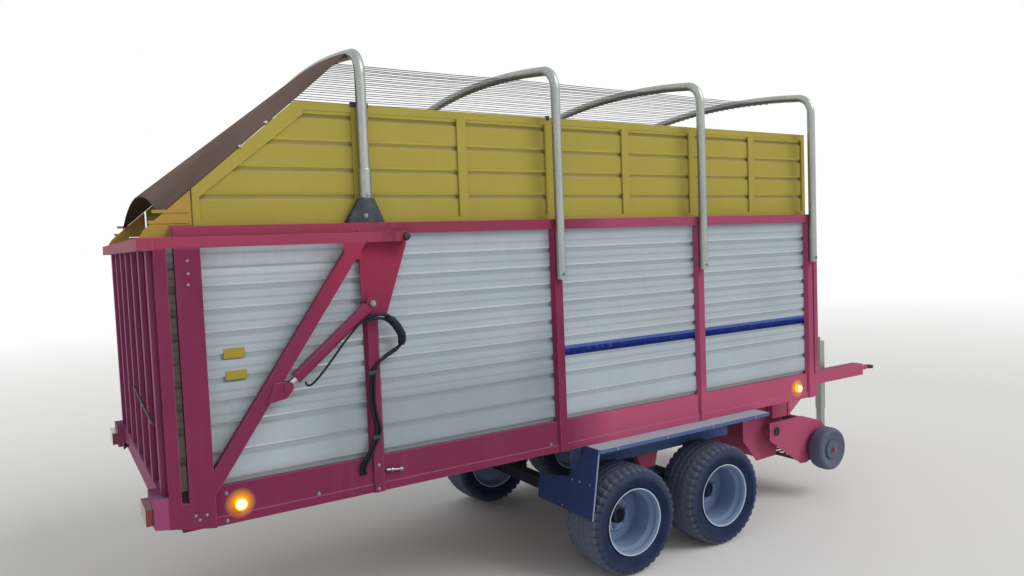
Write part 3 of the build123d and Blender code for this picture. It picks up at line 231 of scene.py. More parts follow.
def folded_sheet(tree, place, base, crest_y, groove_shade_colour, groove_shade_share, underside_light_colour):
    """Painted shade in a sheet's grooves, in full from 9 mm behind its crest, and painted light beneath its
    folds, where the surface faces down.
    """
    outward = parts_of(tree, place)[2]
    return coats(
        tree, base,
        (zone(tree, (outward, crest_y - 0.001, crest_y - 0.009, 0.0, groove_shade_share)), groove_shade_colour),
        (zone(tree, (facing_up(tree), -0.2, -0.7, 0.0, 0.9)), underside_light_colour))


def ribbed_white(tree, place, base):
    """White sheet with painted shade in its grooves and in lines every 117 mm along its ribs, painted light
    beneath its folds, at its rear end and on the rear panel's top, a painted shadow by the third post, darker
    low down, dirt at its foot and a blank blue stripe.
    """
    x, z, outward = parts_of(tree, place)
    behind_third_post = (x, -1.20, -1.23)
    tongues = lumps(tree, place, 0.045, 3.0, (5, 1, 1))
    above = add(tree, "Math", (z, SHADE_LINE_Z), operation="SUBTRACT")
    off_shade_line = add(tree, "Math", (above, SHADE_LINE_GAP / 2), operation="PINGPONG")
    stripe_blue = coats(tree, "#182a70", (zone(tree, step(z, STRIPE_PALE_Z)), "#4f5c98"))
    in_stripe = zone(tree, step(z, STRIPE_Z[0]), step(z, STRIPE_Z[1], -1), step(x, STRIPE_REAR_X))
    return coats(
        # Painted shade in the grooves and painted light beneath the folds
        tree, folded_sheet(tree, place, base, WHITE_CREST_Y, "#7d8992", 0.30, "#f2f8fc"),
        # Dirt at the foot, and the rear end lighter: painted light against the shade between the posts
        (zone(tree, (z, 1.150, 1.215, 0.65, 0.0)), "#8d8c88"),
        (zone(tree, (x, -3.40, -3.46)), "#c6c2bc"),
        # Darker low down, and a painted shadow in jagged tongues behind the third post
        (zone(tree, (z, 1.80, 1.42, 0.0, 0.57), (x, -3.05, -2.75), behind_third_post), "#7d868f"),
        (zone(tree, (x, -1.60, -1.28, 0.0, 0.5), (z, 2.10, 1.75), (tongues, 0.36, 0.60, 0.45, 1.0),
              behind_third_post), "#6f7780"),
        # Top of the rear panel lighter: painted light against the shadow of the rail and the tailgate's arm
        (zone(tree, (z, 2.17, 2.30), (x, -2.50, -2.60)), "#d4dee6"),
        # Painted shade lines along the ribs, and the stripe
        (zone(tree, (off_shade_line, 0.003, 0.011, 0.35, 0.0), step(z, LOWEST_SHADE_LINE_Z)), "#7d8890"),
        (in_stripe, stripe_blue))


def ribbed_yellow(tree, place, base):
    """Yellow sheet with painted shade in its grooves, darker than the crests between them, and painted light
    beneath its folds.
    """
    return folded_sheet(tree, place, base, YELLOW_CREST_Y, "#7a7040", 0.45, "#d9cd6c")


def wheel_rings(tree, place, base):
    """Rings about each axle: painted shade on the hub within 62 mm, then silver, and a painted highlight on
    the flange from 222 mm.
    """
    ring = distance(tree, place, *WHEELS)
    return coats(tree, base, (zone(tree, (ring, 0.2215, 0.2235)), "#b4c2d6"),
                 (zone(tree, (ring, 0.0625, 0.0605)), "#171c28"))


def tread_dust_and_sidewall_highlight(tree, place, base):
    """Sidewalls paler toward the shoulder, a painted highlight, and a tread grey with road dust from 354 mm
    out from each axle.
    """
    ring = distance(tree, place, *WHEELS)
    return coats(tree, base, (zone(tree, (ring, 0.290, 0.350, 0.0, 0.6)), "#4a5468"),
                 (zone(tree, (ring, 0.350, 0.358, 0.0, 0.85)), "#5c6374"))


def flap_edge_highlight(tree, place, base):
    """The mud flap's outer 6 mm, pale: a painted highlight."""
    return coats(tree, base, (zone(tree, (parts_of(tree, place)[2], 1.131, 1.133, 0.0, 0.85)), "#93a3bf"))


# Kinds of finish


def dusty_enamel(name, colour, faded, dust, veil=0.35, roughness=0.42, decorate=None, ledge_dust=0.55):
    """Machine enamel, sprayed on: satin, with a fine orange peel. Field dust keeps its gleam down, so it
    shows its own colour from all sides, chalky in patches 0.4 m wide where the sun faded it, under dust on
    ledges and in rain streaks 35 mm wide. The orange peel is drawn 4 mm wide, coarser than real, to show."""
    material, tree, place = start(name)
    base = coats(tree, colour, (zone(tree, (lumps(tree, place, 0.40), 0.35, 0.68)), faded))
    if decorate:
        base = decorate(tree, place, base)
    streaks = zone(tree, (lumps(tree, place, 0.035, 4.0, (1, 1, 18)), 0.50, 0.78, 0.0, veil),
                   (lumps(tree, place, 0.55, 4.0), 0.35, 0.70))
    ledges = zone(tree, (facing_up(tree), 0.25, 0.95, 0.0, ledge_dust))
    peel = lumps(tree, place, 0.004, 2.0)
    share = add(tree, "Math", (streaks, ledges), operation="MAXIMUM")
    share = add(tree, "Math", (share, zone(tree, (peel, 0.45, 0.75, 0.0, 0.03))), operation="ADD")
    surface(tree, Base_Color=coats(tree, base, (share, dust)), Specular_IOR_Level=0.02,
            Roughness=zone(tree, (share, 0.0, 0.6, roughness, 0.85)),
            Normal=relief(tree, 0.003, peel, 0.0002))
    return material


def metal(name, colour, shade, roughness, spangle):
    """Bare or coated metal: it mirrors its surroundings, blurred by its roughness, mottled by crystals or
    rolling marks spangle metres wide and duller in patches 0.3 m wide."""
    material, tree, place = start(name)
    fine = zone(tree, (lumps(tree, place, spangle), 0.35, 0.70, 0.0, 0.5))
    wide = zone(tree, (lumps(tree, place, 0.30), 0.40, 0.70, 0.0, 0.5))
    share = add(tree, "Math", (fine, wide), operation="ADD")
    surface(tree, Base_Color=coats(tree, colour, (share, shade)), Metallic=1.0,
            Roughness=zone(tree, (share, 0.0, 1.0, roughness, roughness + 0.18)),
            Normal=relief(tree, 0.002))
    return material


def rubber(name, colour, dust, veil, size=0.05, roughness=0.75, decorate=None):
    """Rubber, moulded and vulcanised: matt and nearly black, under field dust that lies thicker in patches
    size metres wide. Its pores are drawn 3 mm wide, coarser than real, to show."""
    material, tree, place = start(name)
    share = zone(tree, (lumps(tree, place, size, 5.0), 0.30, 0.72),
                 (lumps(tree, place, 0.22), 0.25, 0.75, veil * 0.5, veil))
    base = coats(tree, colour, (share, dust))
    if decorate:
        base = decorate(tree, place, base)
    pores = lumps(tree, place, 0.003, 2.0)
    surface(tree, Base_Color=base, Roughness=roughness, Specular_IOR_Level=0.25,
            Normal=relief(tree, 0.004, pores, 0.0003))
    return material


def planks(name, width=0.12):
    """Softwood boards, sawn: matt and grey from weather, with grain 3 mm wide and 180 mm long, and a dark
    seam between two. Each board starts 7.3 m further along the pattern than its neighbour."""
    material, tree, place = start(name)
    y = add(tree, "SeparateXYZ", (place,), "Y")
    widths = add(tree, "Math", (y, width), operation="DIVIDE")
    board = add(tree, "Math", (widths,), operation="FLOOR")
    inside = add(tree, "Math", (widths, board), operation="SUBTRACT")
    low_seam, high_seam = zone(tree, step(inside, 0.03, -1)), zone(tree, step(inside, 0.97))
    seam = add(tree, "Math", (low_seam, high_seam), operation="ADD")
    shift = add(tree, "CombineXYZ", (add(tree, "Math", (board, 7.3), operation="MULTIPLY"),))
    moved = add(tree, "VectorMath", (place, shift), operation="ADD")
    grain = lumps(tree, moved, 0.003, 4.0, (60, 1, 1))
    tone = lumps(tree, moved, 0.25, 1.0, (12, 0.2, 1))
    wood = coats(
        tree, "#7d7263",
        (zone(tree, (grain, 0.30, 0.72)), "#4f473d"),
        (zone(tree, (tone, 0.3, 0.7, 0.0, 0.5)), "#8a8478"),
        (seam, "#1c1a18"))
    surface(tree, Base_Color=wood, Roughness=0.82, Normal=relief(tree, 0.002, grain, 0.0006))
    return material


def lens(name, colour, deep, lit=0.0):
    """Acrylic, moulded: clear colour behind a glossy face, with flutes drawn every 7.9 mm, twice the real
    4 mm, to show. A lit one glows palest within 18 mm of its middle."""
    material, tree, place = start(name)
    flutes = stripes(tree, place, 0.00789)
    glow = {}
    if lit:
        lamp = distance(tree, place, *SIDE_LAMPS)
        glow = {"Emission_Color": coats(tree, "#fff0b4", (zone(tree, (lamp, 0.018, 0.030)), "#ffae1e")),
                "Emission_Strength": zone(tree, (lamp, 0.014, 0.032, lit, 0.35 * lit))}
    surface(tree, Base_Color=coats(tree, colour, (flutes, deep)), Roughness=0.12, IOR=1.49,
            Transmission_Weight=0.25, Coat_Weight=0.5, Normal=relief(tree, 0.002, flutes, 0.0008), **glow)
    return material


def twisted(name, colour, dust):
    """Polypropylene cord, twisted: matt, dusty in patches 0.3 m long, its strands drawn across it every
    11.8 mm, twice the real 6 mm, to show."""
    material, tree, place = start(name)
    dusty = zone(tree, (lumps(tree, place, 0.3), 0.3, 0.7, 0.2, 0.6))
    share = add(tree, "Math", (stripes(tree, place, 0.01184, 1.0), dusty), operation="MULTIPLY")
    surface(tree, Base_Color=coats(tree, colour, (share, dust)), Roughness=0.8)
    return material


# Enamels: colour, faded colour, dust
red = dusty_enamel("red_machine_enamel", "#742e4b", "#7a334f", "#83627a", 0.18, 0.42, red_painted_light_and_grease)
white = dusty_enamel("white_sheet_enamel", "#abb6be", "#a4afb7", "#8b8f8e", 0.25, 0.40, ribbed_white)
yellow = dusty_enamel("yellow_sheet_enamel", "#a89a49", "#a29447", "#a39c80", 0.20, 0.42, ribbed_yellow)
# Gate wings: a more orange yellow than the side sheets
wing_yellow = dusty_enamel("orange_tinted_yellow_enamel", "#b29148", "#a78746", "#a3957c", 0.25)
black = dusty_enamel("black_chassis_enamel", "#2b2f3a", "#363a46", "#7d7a7c", 0.45, 0.55)
# Guards: a dark grey made blue, painted shade, the tint that blue light gives in shade
grey = dusty_enamel("dusty_guard_enamel", "#4d608c", "#52658f", "#a7abb6", 0.10, 0.50, None, 0.92)
brown = dusty_enamel("earth_brown_sheet_enamel", "#6c5850", "#56453e", "#86776c", 0.25, 0.62, None, 0.12)
# Wheels: the silver's blue is painted shade, the tint that blue light gives in shade
silver = dusty_enamel("silver_wheel_enamel", "#7c90b2", "#7084a6", "#7b8698", 0.30, 0.38, wheel_rings)
plate_yellow = dusty_enamel("blank_plate_enamel", "#a3963c", "#988c3a", "#8c8460", 0.30, 0.35)
# Metals: zinc dulled by weather, steel worn by hay, plated bolts, a ground rod like a mirror, dark forgings
zinc = metal("galvanised_tube_zinc", "#a8aca6", "#969b9a", 0.38, 0.02)
worn = metal("worn_rolled_steel", "#7a7570", "#4e4843", 0.45, 0.03)
bright = metal("zinc_plated_fastener", "#9a9aa4", "#74747e", 0.35, 0.006)
chrome = metal("hard_chrome_rod", "#c6c8cc", "#b2b4b8", 0.10, 0.05)
cast = metal("forged_eye_steel", "#55504c", "#3a3532", 0.50, 0.02)
# Rubbers: colour, dust
# Mud flaps: their navy is painted shade, the tint that blue light gives black rubber in shade
flap_rubber = rubber("mud_flap_rubber", "#283969", "#3a4663", 0.25, 0.05, 0.85, flap_edge_highlight)
boot_rubber = rubber("bow_boot_rubber", "#30343a", "#6f7478", 0.45)
hose_rubber = rubber("hydraulic_hose_rubber", "#0d1220", "#283042", 0.30, 0.03, 0.55)
# Tyres: their navy is painted shade, the tint that blue light gives black rubber in shade
tyre_rubber = rubber("tyre_rubber", "#0d1a38", "#273858", 0.60, 0.09, 0.8, tread_dust_and_sidewall_highlight)
# Wood, lamps and cord
boards = planks("weathered_floor_boards")
amber = lens("amber_lamp_acrylic", "#e08a2c", "#b05a12", 3.0)
ruby = lens("red_lamp_acrylic", "#9a1d22", "#5c0c10")
cord_fibre = twisted("black_roof_cord", "#23262a", "#6d7378")

FINISHES = {
    red: ["chassis_frame", "sills", "wall_posts", "top_rails", "hinge_gussets", "front_wall", "gate_sides",
          "gate_wall", "cylinder_barrel_right", "cylinder_barrel_left", "drawbar", "rotor_housing",
          "pickup_frame"],
    white: ["wall_panels"],
    yellow: ["side_extensions", "front_grille", "drive_guard"],
    wing_yellow: ["gate_wings"],
    black: ["bogie_springs", "axles", "drive_gearbox", "feed_rotor"],
    grey: ["fenders"],
    brown: ["rear_cover"],
    silver: ["rim_rear_right", "rim_rear_left", "rim_front_right", "rim_front_left"],
    zinc: ["roof_bows", "jack_sleeve", "jack_leg"],
    worn: ["scraper_floor", "pickup_reel", "pickup_bands"],
    chrome: ["cylinder_rod_right", "cylinder_rod_left"],
    cast: ["hitch_eye"],
    flap_rubber: ["mud_flaps"],
    boot_rubber: ["bow_boots"],
    tyre_rubber: ["tyre_rear_right", "tyre_rear_left", "tyre_front_right", "tyre_front_left",
                  "gauge_wheel_right", "gauge_wheel_left"],
    boards: ["bed_floor"],
    amber: ["side_markers"],
    ruby: ["tail_lamps"],
    cord_fibre: ["roof_cords"],
}
for finish, names in FINISHES.items():
    for name in names:
        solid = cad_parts[name]
        if not solid.material_slots:
            solid.data.materials.append(finish)
        for slot in solid.material_slots:
            slot.material = finish


# Shapes: a shape is its points and a list of arrays of faces, each row the point numbers of one face


def quads(numbers):
    """Faces between neighbours in a grid of point numbers whose columns run round."""
    beside = np.roll(numbers, -1, axis=1)
    return np.stack([numbers[:-1], beside[:-1], beside[1:], numbers[1:]], axis=2).reshape(-1, 4)


def tube(path, radii, sides=16):
    """Ring carried along a path: path point + radius * (cos turn * first + sin turn * second), with flat
    ends, where first and second are at right angles to the path."""
    path = np.asarray(path, float)
    along = np.gradient(path, axis=0)
    along /= np.linalg.norm(along, axis=1, keepdims=True)
    reference = (0.31, 0.22, 0.93) if np.abs(along[:, 2]).max() < 0.9 else (0.93, 0.34, 0.12)
    first = np.cross(along, reference)
    first /= np.linalg.norm(first, axis=1, keepdims=True)
    second = np.cross(along, first)
    turn = np.arange(sides)[:, None] * 2 * np.pi / sides
    ring = np.cos(turn) * first[:, None] + np.sin(turn) * second[:, None]
    points = path[:, None] + np.broadcast_to(radii, len(path))[:, None, None] * ring
    numbers = np.arange(len(path) * sides).reshape(len(path), sides)
    return points.reshape(-1, 3), [np.stack([numbers[0, ::-1], numbers[-1]]), quads(numbers)]


def brick(low, high, chamfer=0.0015):
    """Box with its edges cut: each corner has three points, middle + sign * half on one axis and
    sign * (half - chamfer) on the other two, joined to six sides, twelve strips and eight triangles."""
    low, high = np.minimum(low, high), np.maximum(low, high)
    middle, half = (low + high) / 2, (high - low) / 2
    inset = min(chamfer, half.min() * 0.6) * (1 - np.eye(3))
    signs = np.stack(np.meshgrid((-1, 1), (-1, 1), (-1, 1), indexing="ij"), axis=3).reshape(8, 3)
    points = middle + signs * (half - inset)[:, None]
    numbers = np.arange(24).reshape(3, 2, 2, 2)
    flats = []
    for axis in range(3):
        order = (axis, (axis + 1) % 3, (axis + 2) % 3)
        own, second, third = (numbers[i].transpose(order) for i in order)
        for a in (0, 1):
            flats.append(own[a][[0, 1, 1, 0], [0, 0, 1, 1]][::2 * a - 1])
            for b in (0, 1):
                strip = [second[0, a, b], third[0, a, b], third[1, a, b], second[1, a, b]]
                flats.append(strip if a == b else strip[::-1])
    corners = numbers.reshape(3, 8).T
    corners = np.where(signs.prod(axis=1, keepdims=True) > 0, corners, corners[:, ::-1])
    return points.reshape(-1, 3), [np.array(flats), corners]


def bricks(side, rows, reach, chamfer=0.0015):
    """A brick for each row of two x and two z, from the first to the second |y| of reach."""
    near, far = reach
    return [brick((x0, side * near, z0), (x1, side * far, z1), chamfer) for x0, x1, z0, z1 in rows]


def joined(shapes):
    """Several shapes as one."""
    points, faces, base = [], [], 0
    for shape_points, shape_faces in shapes:
        points.append(shape_points)
        faces += [rows + base for rows in shape_faces]
        base += len(shape_points)
    return np.vstack(points), faces


def bolt(place, normal, size):
    """Hexagon head, its top edge cut, on a round washer: two short tubes along the surface's normal. The size
    is the head's radius, the washer's is 1.35 times that, and the head is 0.85 of it high."""
    place, normal = np.array(place, float), np.array(normal, float)
    washer = [place - normal * 0.001, place + normal * 0.0018]
    head = [place + normal * t for t in (0.001, 0.001 + 0.65 * size, 0.001 + 0.85 * size)]
    return joined([tube(washer, size * 1.35, 18), tube(head, [size, size, size * 0.82], 6)])


def placed(name, data, body):
    """An object that rides on a body; its place is in its data."""
    made = put(name, data)
    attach(made, body)
    return made


def piece(name, shapes, finish, body, smooth=False):
    """A piece of the wagon made of shapes."""
    points, faces = joined(shapes)
    mesh = bpy.data.meshes.new(name)
    mesh.from_pydata(points.tolist(), [], [face for rows in faces for face in rows.tolist()])
    mesh.polygons.foreach_set("use_smooth", [smooth] * len(mesh.polygons))
    mesh.materials.append(finish)
    return placed(name, mesh, body)


def strand(name, points, radius, finish, body):
    """A cord or hose: one open NURBS spline with a round section, through given control points."""
    curve = bpy.data.curves.new(name, "CURVE")
    curve.dimensions = "3D"
    curve.bevel_depth = radius
    curve.bevel_resolution = 3
    curve.resolution_u = 8
    curve.use_fill_caps = True
    spline = curve.splines.new("NURBS")
    spline.points.add(len(points) - 1)
    for point, co in zip(spline.points, points):
        point.co = (*co, 1.0)
    spline.order_u = 3
    spline.use_endpoint_u = True
    curve.materials.append(finish)
    made = placed(name, curve, body)
    return made


def on_side(side, points):
    """Points given as x, |y| and z, put on one side of the wagon."""
    return [(x, side * y, z) for x, y, z in points]


# Roof cords, under the bows, from the rear one to the three wider ones in front of it

CORD_COUNT = 21
CORD_GAP = 0.062
CORD_RADIUS = 0.0025
CORD_UNDER_BOW = 0.0329
# Least and greatest sag between two bows, dealt out over five cords in turn
CORD_SAGS = (0.004, 0.010)
BOW_HALF_WIDTHS = (0.980, 1.0503)
BOW_SLOPE = 0.1495
SHOULDER_REACH = 0.12555
CROWN_Z = 3.401


def bow_line(y, half):
    """Height of a bow's middle line at y: an arc of radius bend = (half - shoulder reach) / slope that meets
    the straight shoulders at their slope."""
    bend = (half - SHOULDER_REACH) / BOW_SLOPE
    crown = CROWN_Z + BOW_SLOPE * half - bend * ((1 + BOW_SLOPE ** 2) ** 0.5 - 1)
    return crown - bend + (bend * bend - y * y) ** 0.5


for i in range(CORD_COUNT):
    y = (i - CORD_COUNT // 2) * CORD_GAP
    low, high = (bow_line(y, half) - CORD_UNDER_BOW for half in BOW_HALF_WIDTHS)
    sag = np.interp((i * 7) % 5, (0, 4), CORD_SAGS)
    route = [(-2.515, y, low), (-1.88, y + 0.004, (low + high) / 2 - sag), (-1.235, y, high),
             (-0.59, y - 0.003, high - sag), (0.052, y, high), (0.68, y + 0.003, high - sag),
             (1.316, y, high)]
    strand(f"roof_cord_{i + 1:02d}", route, CORD_RADIUS, cord_fibre, "wagon")
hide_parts("roof_cords")


# Tyres: skin and then lining, round the section, as distance from the axle and place across

SKIN = [(0.220, -0.135), (0.246, -0.153), (0.282, -0.171), (0.312, -0.175), (0.340, -0.167), (0.362, -0.149),
        (0.371, -0.105), (0.374, -0.060), (0.374, 0.060), (0.371, 0.105), (0.362, 0.149), (0.340, 0.167),
        (0.312, 0.175), (0.282, 0.171), (0.246, 0.153), (0.220, 0.135)]
LINING = [(0.220, 0.115), (0.246, 0.125), (0.282, 0.155), (0.312, 0.159), (0.328, 0.145), (0.340, 0.060),
          (0.340, -0.060), (0.328, -0.145), (0.312, -0.159), (0.282, -0.155), (0.246, -0.125),
          (0.220, -0.115)]
# The tread lies between two points of the skin, and the mesh has finer steps there than on the sidewalls
SHOULDERS = [4, 11]
SIDEWALL_STEP = 0.009
TREAD_STEP = 0.0032
LUGS = 40
ROWS_A_LUG = 6
# A reach is how far from its middle a groove, notch or bead begins, and how far it is in full
GROOVES_Y = (-0.050, 0.0, 0.050)
GROOVE_REACH = (0.00675, 0.00225)
GROOVE_DEPTH = 0.011
GROOVE_WAVE = 0.005
# Notches: their reach in shares of a lug, and how far across and out from the axle they begin and are in full
NOTCH_REACH = (0.208, 0.078)
NOTCH_Y = (0.088, 0.098)
NOTCH_RADIUS = (0.326, 0.340)
NOTCH_DEPTH = 0.013
BEAD_RADIUS = 0.296
BEAD_REACH = (0.012, 0.004)
BEAD_HEIGHT = 0.0018
NUTS = 6
NUT_CIRCLE = 0.088
NUT_Y = 0.897
NUT_SIZE = 0.013
FIRST_NUT_TURN = 0.3


def ramp(value, zero, one):
    """0 at zero and beyond, 1 at one and beyond, and straight between the two."""
    return np.clip((value - zero) / (one - zero), 0, 1)


def tyre(axle_x, side):
    """Section carried round the axle, its skin moved in along its normal: by the groove depth where a groove
    passes, at its y + wave * sin(lugs * turn), and by the notch depth on both shoulders at each lug's middle.
    A bead stands out on the sidewall."""
    skin = np.array(SKIN)
    along = np.concatenate([[0], np.cumsum(np.linalg.norm(np.diff(skin, axis=0), axis=1))])
    first, last = along[SHOULDERS]
    stations = np.concatenate([np.arange(0, first, SIDEWALL_STEP), np.arange(first, last, TREAD_STEP),
                               np.arange(last, along[-1], SIDEWALL_STEP), along[-1:]])
    radius, across = (np.interp(stations, along, skin[:, i]) for i in (0, 1))
    for _ in range(2):
        radius[1:-1] = (radius[:-2] + 2 * radius[1:-1] + radius[2:]) / 4
        across[1:-1] = (across[:-2] + 2 * across[1:-1] + across[2:]) / 4
    turn = np.linspace(0, 2 * np.pi, LUGS * ROWS_A_LUG, endpoint=False)[:, None]
    in_lug = np.tile(np.arange(ROWS_A_LUG) / ROWS_A_LUG, LUGS)[:, None]
    cut = np.zeros((len(turn), len(stations)))
    for groove in GROOVES_Y:
        off_groove = np.abs(across - groove - GROOVE_WAVE * np.sin(turn * LUGS))
        cut += GROOVE_DEPTH * ramp(off_groove, *GROOVE_REACH)
    on_shoulder = ramp(np.abs(across), *NOTCH_Y) * ramp(radius, *NOTCH_RADIUS)
    cut += NOTCH_DEPTH * ramp(np.abs(in_lug - 0.5), *NOTCH_REACH) * on_shoulder
    cut -= BEAD_HEIGHT * ramp(np.abs(radius - BEAD_RADIUS), *BEAD_REACH)
    slope = np.stack([np.gradient(radius), np.gradient(across)])
    slope /= np.linalg.norm(slope, axis=0)
    lining = np.tile(np.transpose(LINING)[:, None], (1, len(turn), 1))
    radius = np.hstack([radius - cut * slope[1], lining[0]])
    across = np.hstack([across + cut * slope[0], lining[1]])
    points = np.stack([axle_x + radius * np.cos(turn), side * WHEEL_Y + across,
                       AXLE_Z + radius * np.sin(turn)], axis=2)
    numbers = np.arange(radius.size).reshape(radius.shape)
    return points.reshape(-1, 3), [quads(np.vstack([numbers, numbers[:1]]))]


for axle_name, axle_x in AXLES_X.items():
    for side_name, side in SIDES.items():
        wheel = f"{axle_name}_{side_name}"
        tread = piece(f"tread_{wheel}", [tyre(axle_x, side)], tyre_rubber, f"wheel_{wheel}",
                      smooth=True)
        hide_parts(f"tyre_{wheel}")
        turns = np.arange(NUTS) * 2 * np.pi / NUTS + FIRST_NUT_TURN
        nuts = [bolt((axle_x + NUT_CIRCLE * np.cos(turn), side * NUT_Y, AXLE_Z + NUT_CIRCLE * np.sin(turn)),
                     (0, side, 0), NUT_SIZE) for turn in turns]
        piece(f"wheel_nuts_{wheel}", nuts, bright, f"wheel_{wheel}")


# Hoses, by x, |y| and z: a pair from the cylinder's pivot down the second post to the sill, in a sheath where
# it bends, and a thin one along the barrel

PAIR = [(-2.580, 1.064, 1.925), (-2.525, 1.068, 1.946), (-2.450, 1.062, 1.932), (-2.392, 1.056, 1.876),
        (-2.358, 1.052, 1.812), (-2.372, 1.048, 1.760), (-2.430, 1.044, 1.730), (-2.500, 1.038, 1.690),
        (-2.540, 1.034, 1.630), (-2.546, 1.032, 1.540), (-2.549, 1.032, 1.450), (-2.536, 1.032, 1.370),
        (-2.516, 1.032, 1.305), (-2.540, 1.032, 1.240), (-2.590, 1.032, 1.155), (-2.622, 1.020, 1.100),
        (-2.612, 1.004, 1.055)]
PAIR_RADIUS = 0.0085
PAIR_SHIFTS = (-0.010, 0.011)
SHEATH = [(-2.455, 1.062, 1.934), (-2.420, 1.060, 1.912), (-2.388, 1.056, 1.872), (-2.364, 1.053, 1.828),
          (-2.362, 1.051, 1.792), (-2.370, 1.049, 1.772)]
SHEATH_RADII = [0.019, 0.023, 0.024, 0.024, 0.023, 0.019]
THIN = [(-2.600, 1.084, 1.935), (-2.646, 1.092, 1.893), (-2.712, 1.096, 1.826), (-2.780, 1.098, 1.745),
        (-2.850, 1.098, 1.665), (-2.905, 1.096, 1.612), (-2.930, 1.088, 1.612), (-2.930, 1.078, 1.632)]
THIN_RADIUS = 0.006

# Each of the pair is its route moved ahead by a shift, less so at the barrel, and up as far as the post
for side_name, side in SIDES.items():
    for k, shift in enumerate(PAIR_SHIFTS, 1):
        route = [(x + shift * (0.4 if i < 3 else 1.0), y, z + shift * (0.9 if i < 9 else 0.0))
                 for i, (x, y, z) in enumerate(on_side(side, PAIR))]
        strand(f"hose_{k}_{side_name}", route, PAIR_RADIUS, hose_rubber, "wagon")
    piece(f"hose_sheath_{side_name}", [tube(on_side(side, SHEATH), SHEATH_RADII)], hose_rubber, "wagon",
          smooth=True)
    strand(f"hose_3_{side_name}", on_side(side, THIN), THIN_RADIUS, hose_rubber, f"barrel_{side_name}")


# The tailgate's latch rod and its knob

LATCH_ROD = [(-3.6695, -0.296, 1.597), (-3.6695, -1.076, 1.522)]
LATCH_ROD_RADIUS = 0.007
LATCH_KNOB = [(x, 0.365, 1.124) for x in (-3.664, -3.676, -3.690, -3.696)]
LATCH_KNOB_RADII = [0.010, 0.010, 0.022, 0.018]

latch = [tube(LATCH_ROD, LATCH_ROD_RADIUS, 14), tube(LATCH_KNOB, LATCH_KNOB_RADII, 18)]
piece("latch_rod", latch, cast, "tailgate")


# Bolts by x, |y|, z and size. Those of the mud flap, by |y| and z, lean back with it.

GATE_BOLTS = [(-3.473, 1.084, 2.291, 0.0055), (-3.472, 1.084, 2.228, 0.0055), (-3.475, 1.084, 2.175, 0.0055),
              (-3.506, 1.084, 1.045, 0.0055), (-3.489, 1.084, 1.021, 0.0055), (-3.455, 1.084, 1.039, 0.0055)]
SILL_BOLTS = [(-3.345, 1.002, 1.102, 0.0075), (-3.348, 1.006, 0.962, 0.0075), (-1.331, 1.002, 1.002, 0.0075),
              (-2.870, 1.002, 1.000, 0.0075), (-2.526, 1.020, 1.096, 0.0075), (-2.531, 1.020, 0.962, 0.0075)]
GUARD_BOLTS = [(x, 1.150, 0.927, 0.008) for x in (-0.9, -0.45, 0.0, 0.45)]
PLATE_BOLTS = [(-2.525, 1.0105, 2.499, 0.010), (BARREL_PIVOT[0], 1.096, BARREL_PIVOT[1], 0.0125)]
POST_BOLTS = [(x, 1.0800, 2.108, 0.009) for x in POSTS_X]
WALL_BOLTS = SILL_BOLTS + GUARD_BOLTS + PLATE_BOLTS + POST_BOLTS
FLAP_BOLTS = [(0.968, 0.696), (1.078, 0.701), (0.884, 0.693), (0.800, 0.500)]
FLAP_BOLT_SIZE = 0.006
FLAP_TILT = np.radians(9)
FLAP_TOP = (-1.0465, 0.9377)

# Small fittings with straight edges: two x and two z for each, and the two |y| of their kind

COVER_CLIPS = [(-3.0351, -3.0171, 2.9902, 3.0042), (-3.1723, -3.1543, 2.8608, 2.8748)]
COVER_CLIP_Y = (0.940, 0.956)
PANEL_CLIPS = [(-2.562, -2.526, 3.106, 3.132), (-2.500, -2.458, 3.104, 3.132),
               (-1.240, -1.215, 3.104, 3.132)]
PANEL_CLIP_Y = (0.934, 0.951)
HOSE_CLIPS = [(-2.567, -2.517, 1.618, 1.638), (-2.559, -2.509, 1.252, 1.272)]
HOSE_CLIP_Y = (1.018, 1.045)
PLATES = [(-3.3146, -3.2103, 1.785, 1.838), (-3.3112, -3.2046, 1.674, 1.722)]
PLATE_Y = (0.9868, 0.9882)
PLATE_CHAMFER = 0.0004

# Round small fittings: x, |y| and z of the points on their middle line, and the radii there

COUPLING_BODY = [(-2.480, 1.014, 1.060), (-2.455, 1.014, 1.057), (-2.452, 1.014, 1.0565),
                 (-2.440, 1.014, 1.055)]
COUPLING_BODY_RADII = [0.009, 0.009, 0.013, 0.013]
COUPLING_STEM = [(-2.441, 1.014, 1.055), (-2.395, 1.014, 1.049)]
COUPLING_STEM_RADIUS = 0.0065
COUPLING_NUT = [(-2.398, 1.014, 1.0495), (-2.381, 1.014, 1.0465)]
COUPLING_NUT_RADIUS = 0.011
CAP = [(TAILGATE_PIVOT[0], y, TAILGATE_PIVOT[1]) for y in (1.096, 1.100, 1.108, 1.110)]
CAP_RADII = [0.021, 0.021, 0.018, 0.014]
COLLAR = [(-2.509, 0.980, z) for z in (2.600, 2.602, 2.758, 2.763)]
COLLAR_RADII = [0.0325, 0.0345, 0.0345, 0.0320]
COLLAR_SCREW = [(-2.509, y, 2.618) for y in (1.010, 1.020, 1.024)]
COLLAR_SCREW_RADII = [0.011, 0.011, 0.007]

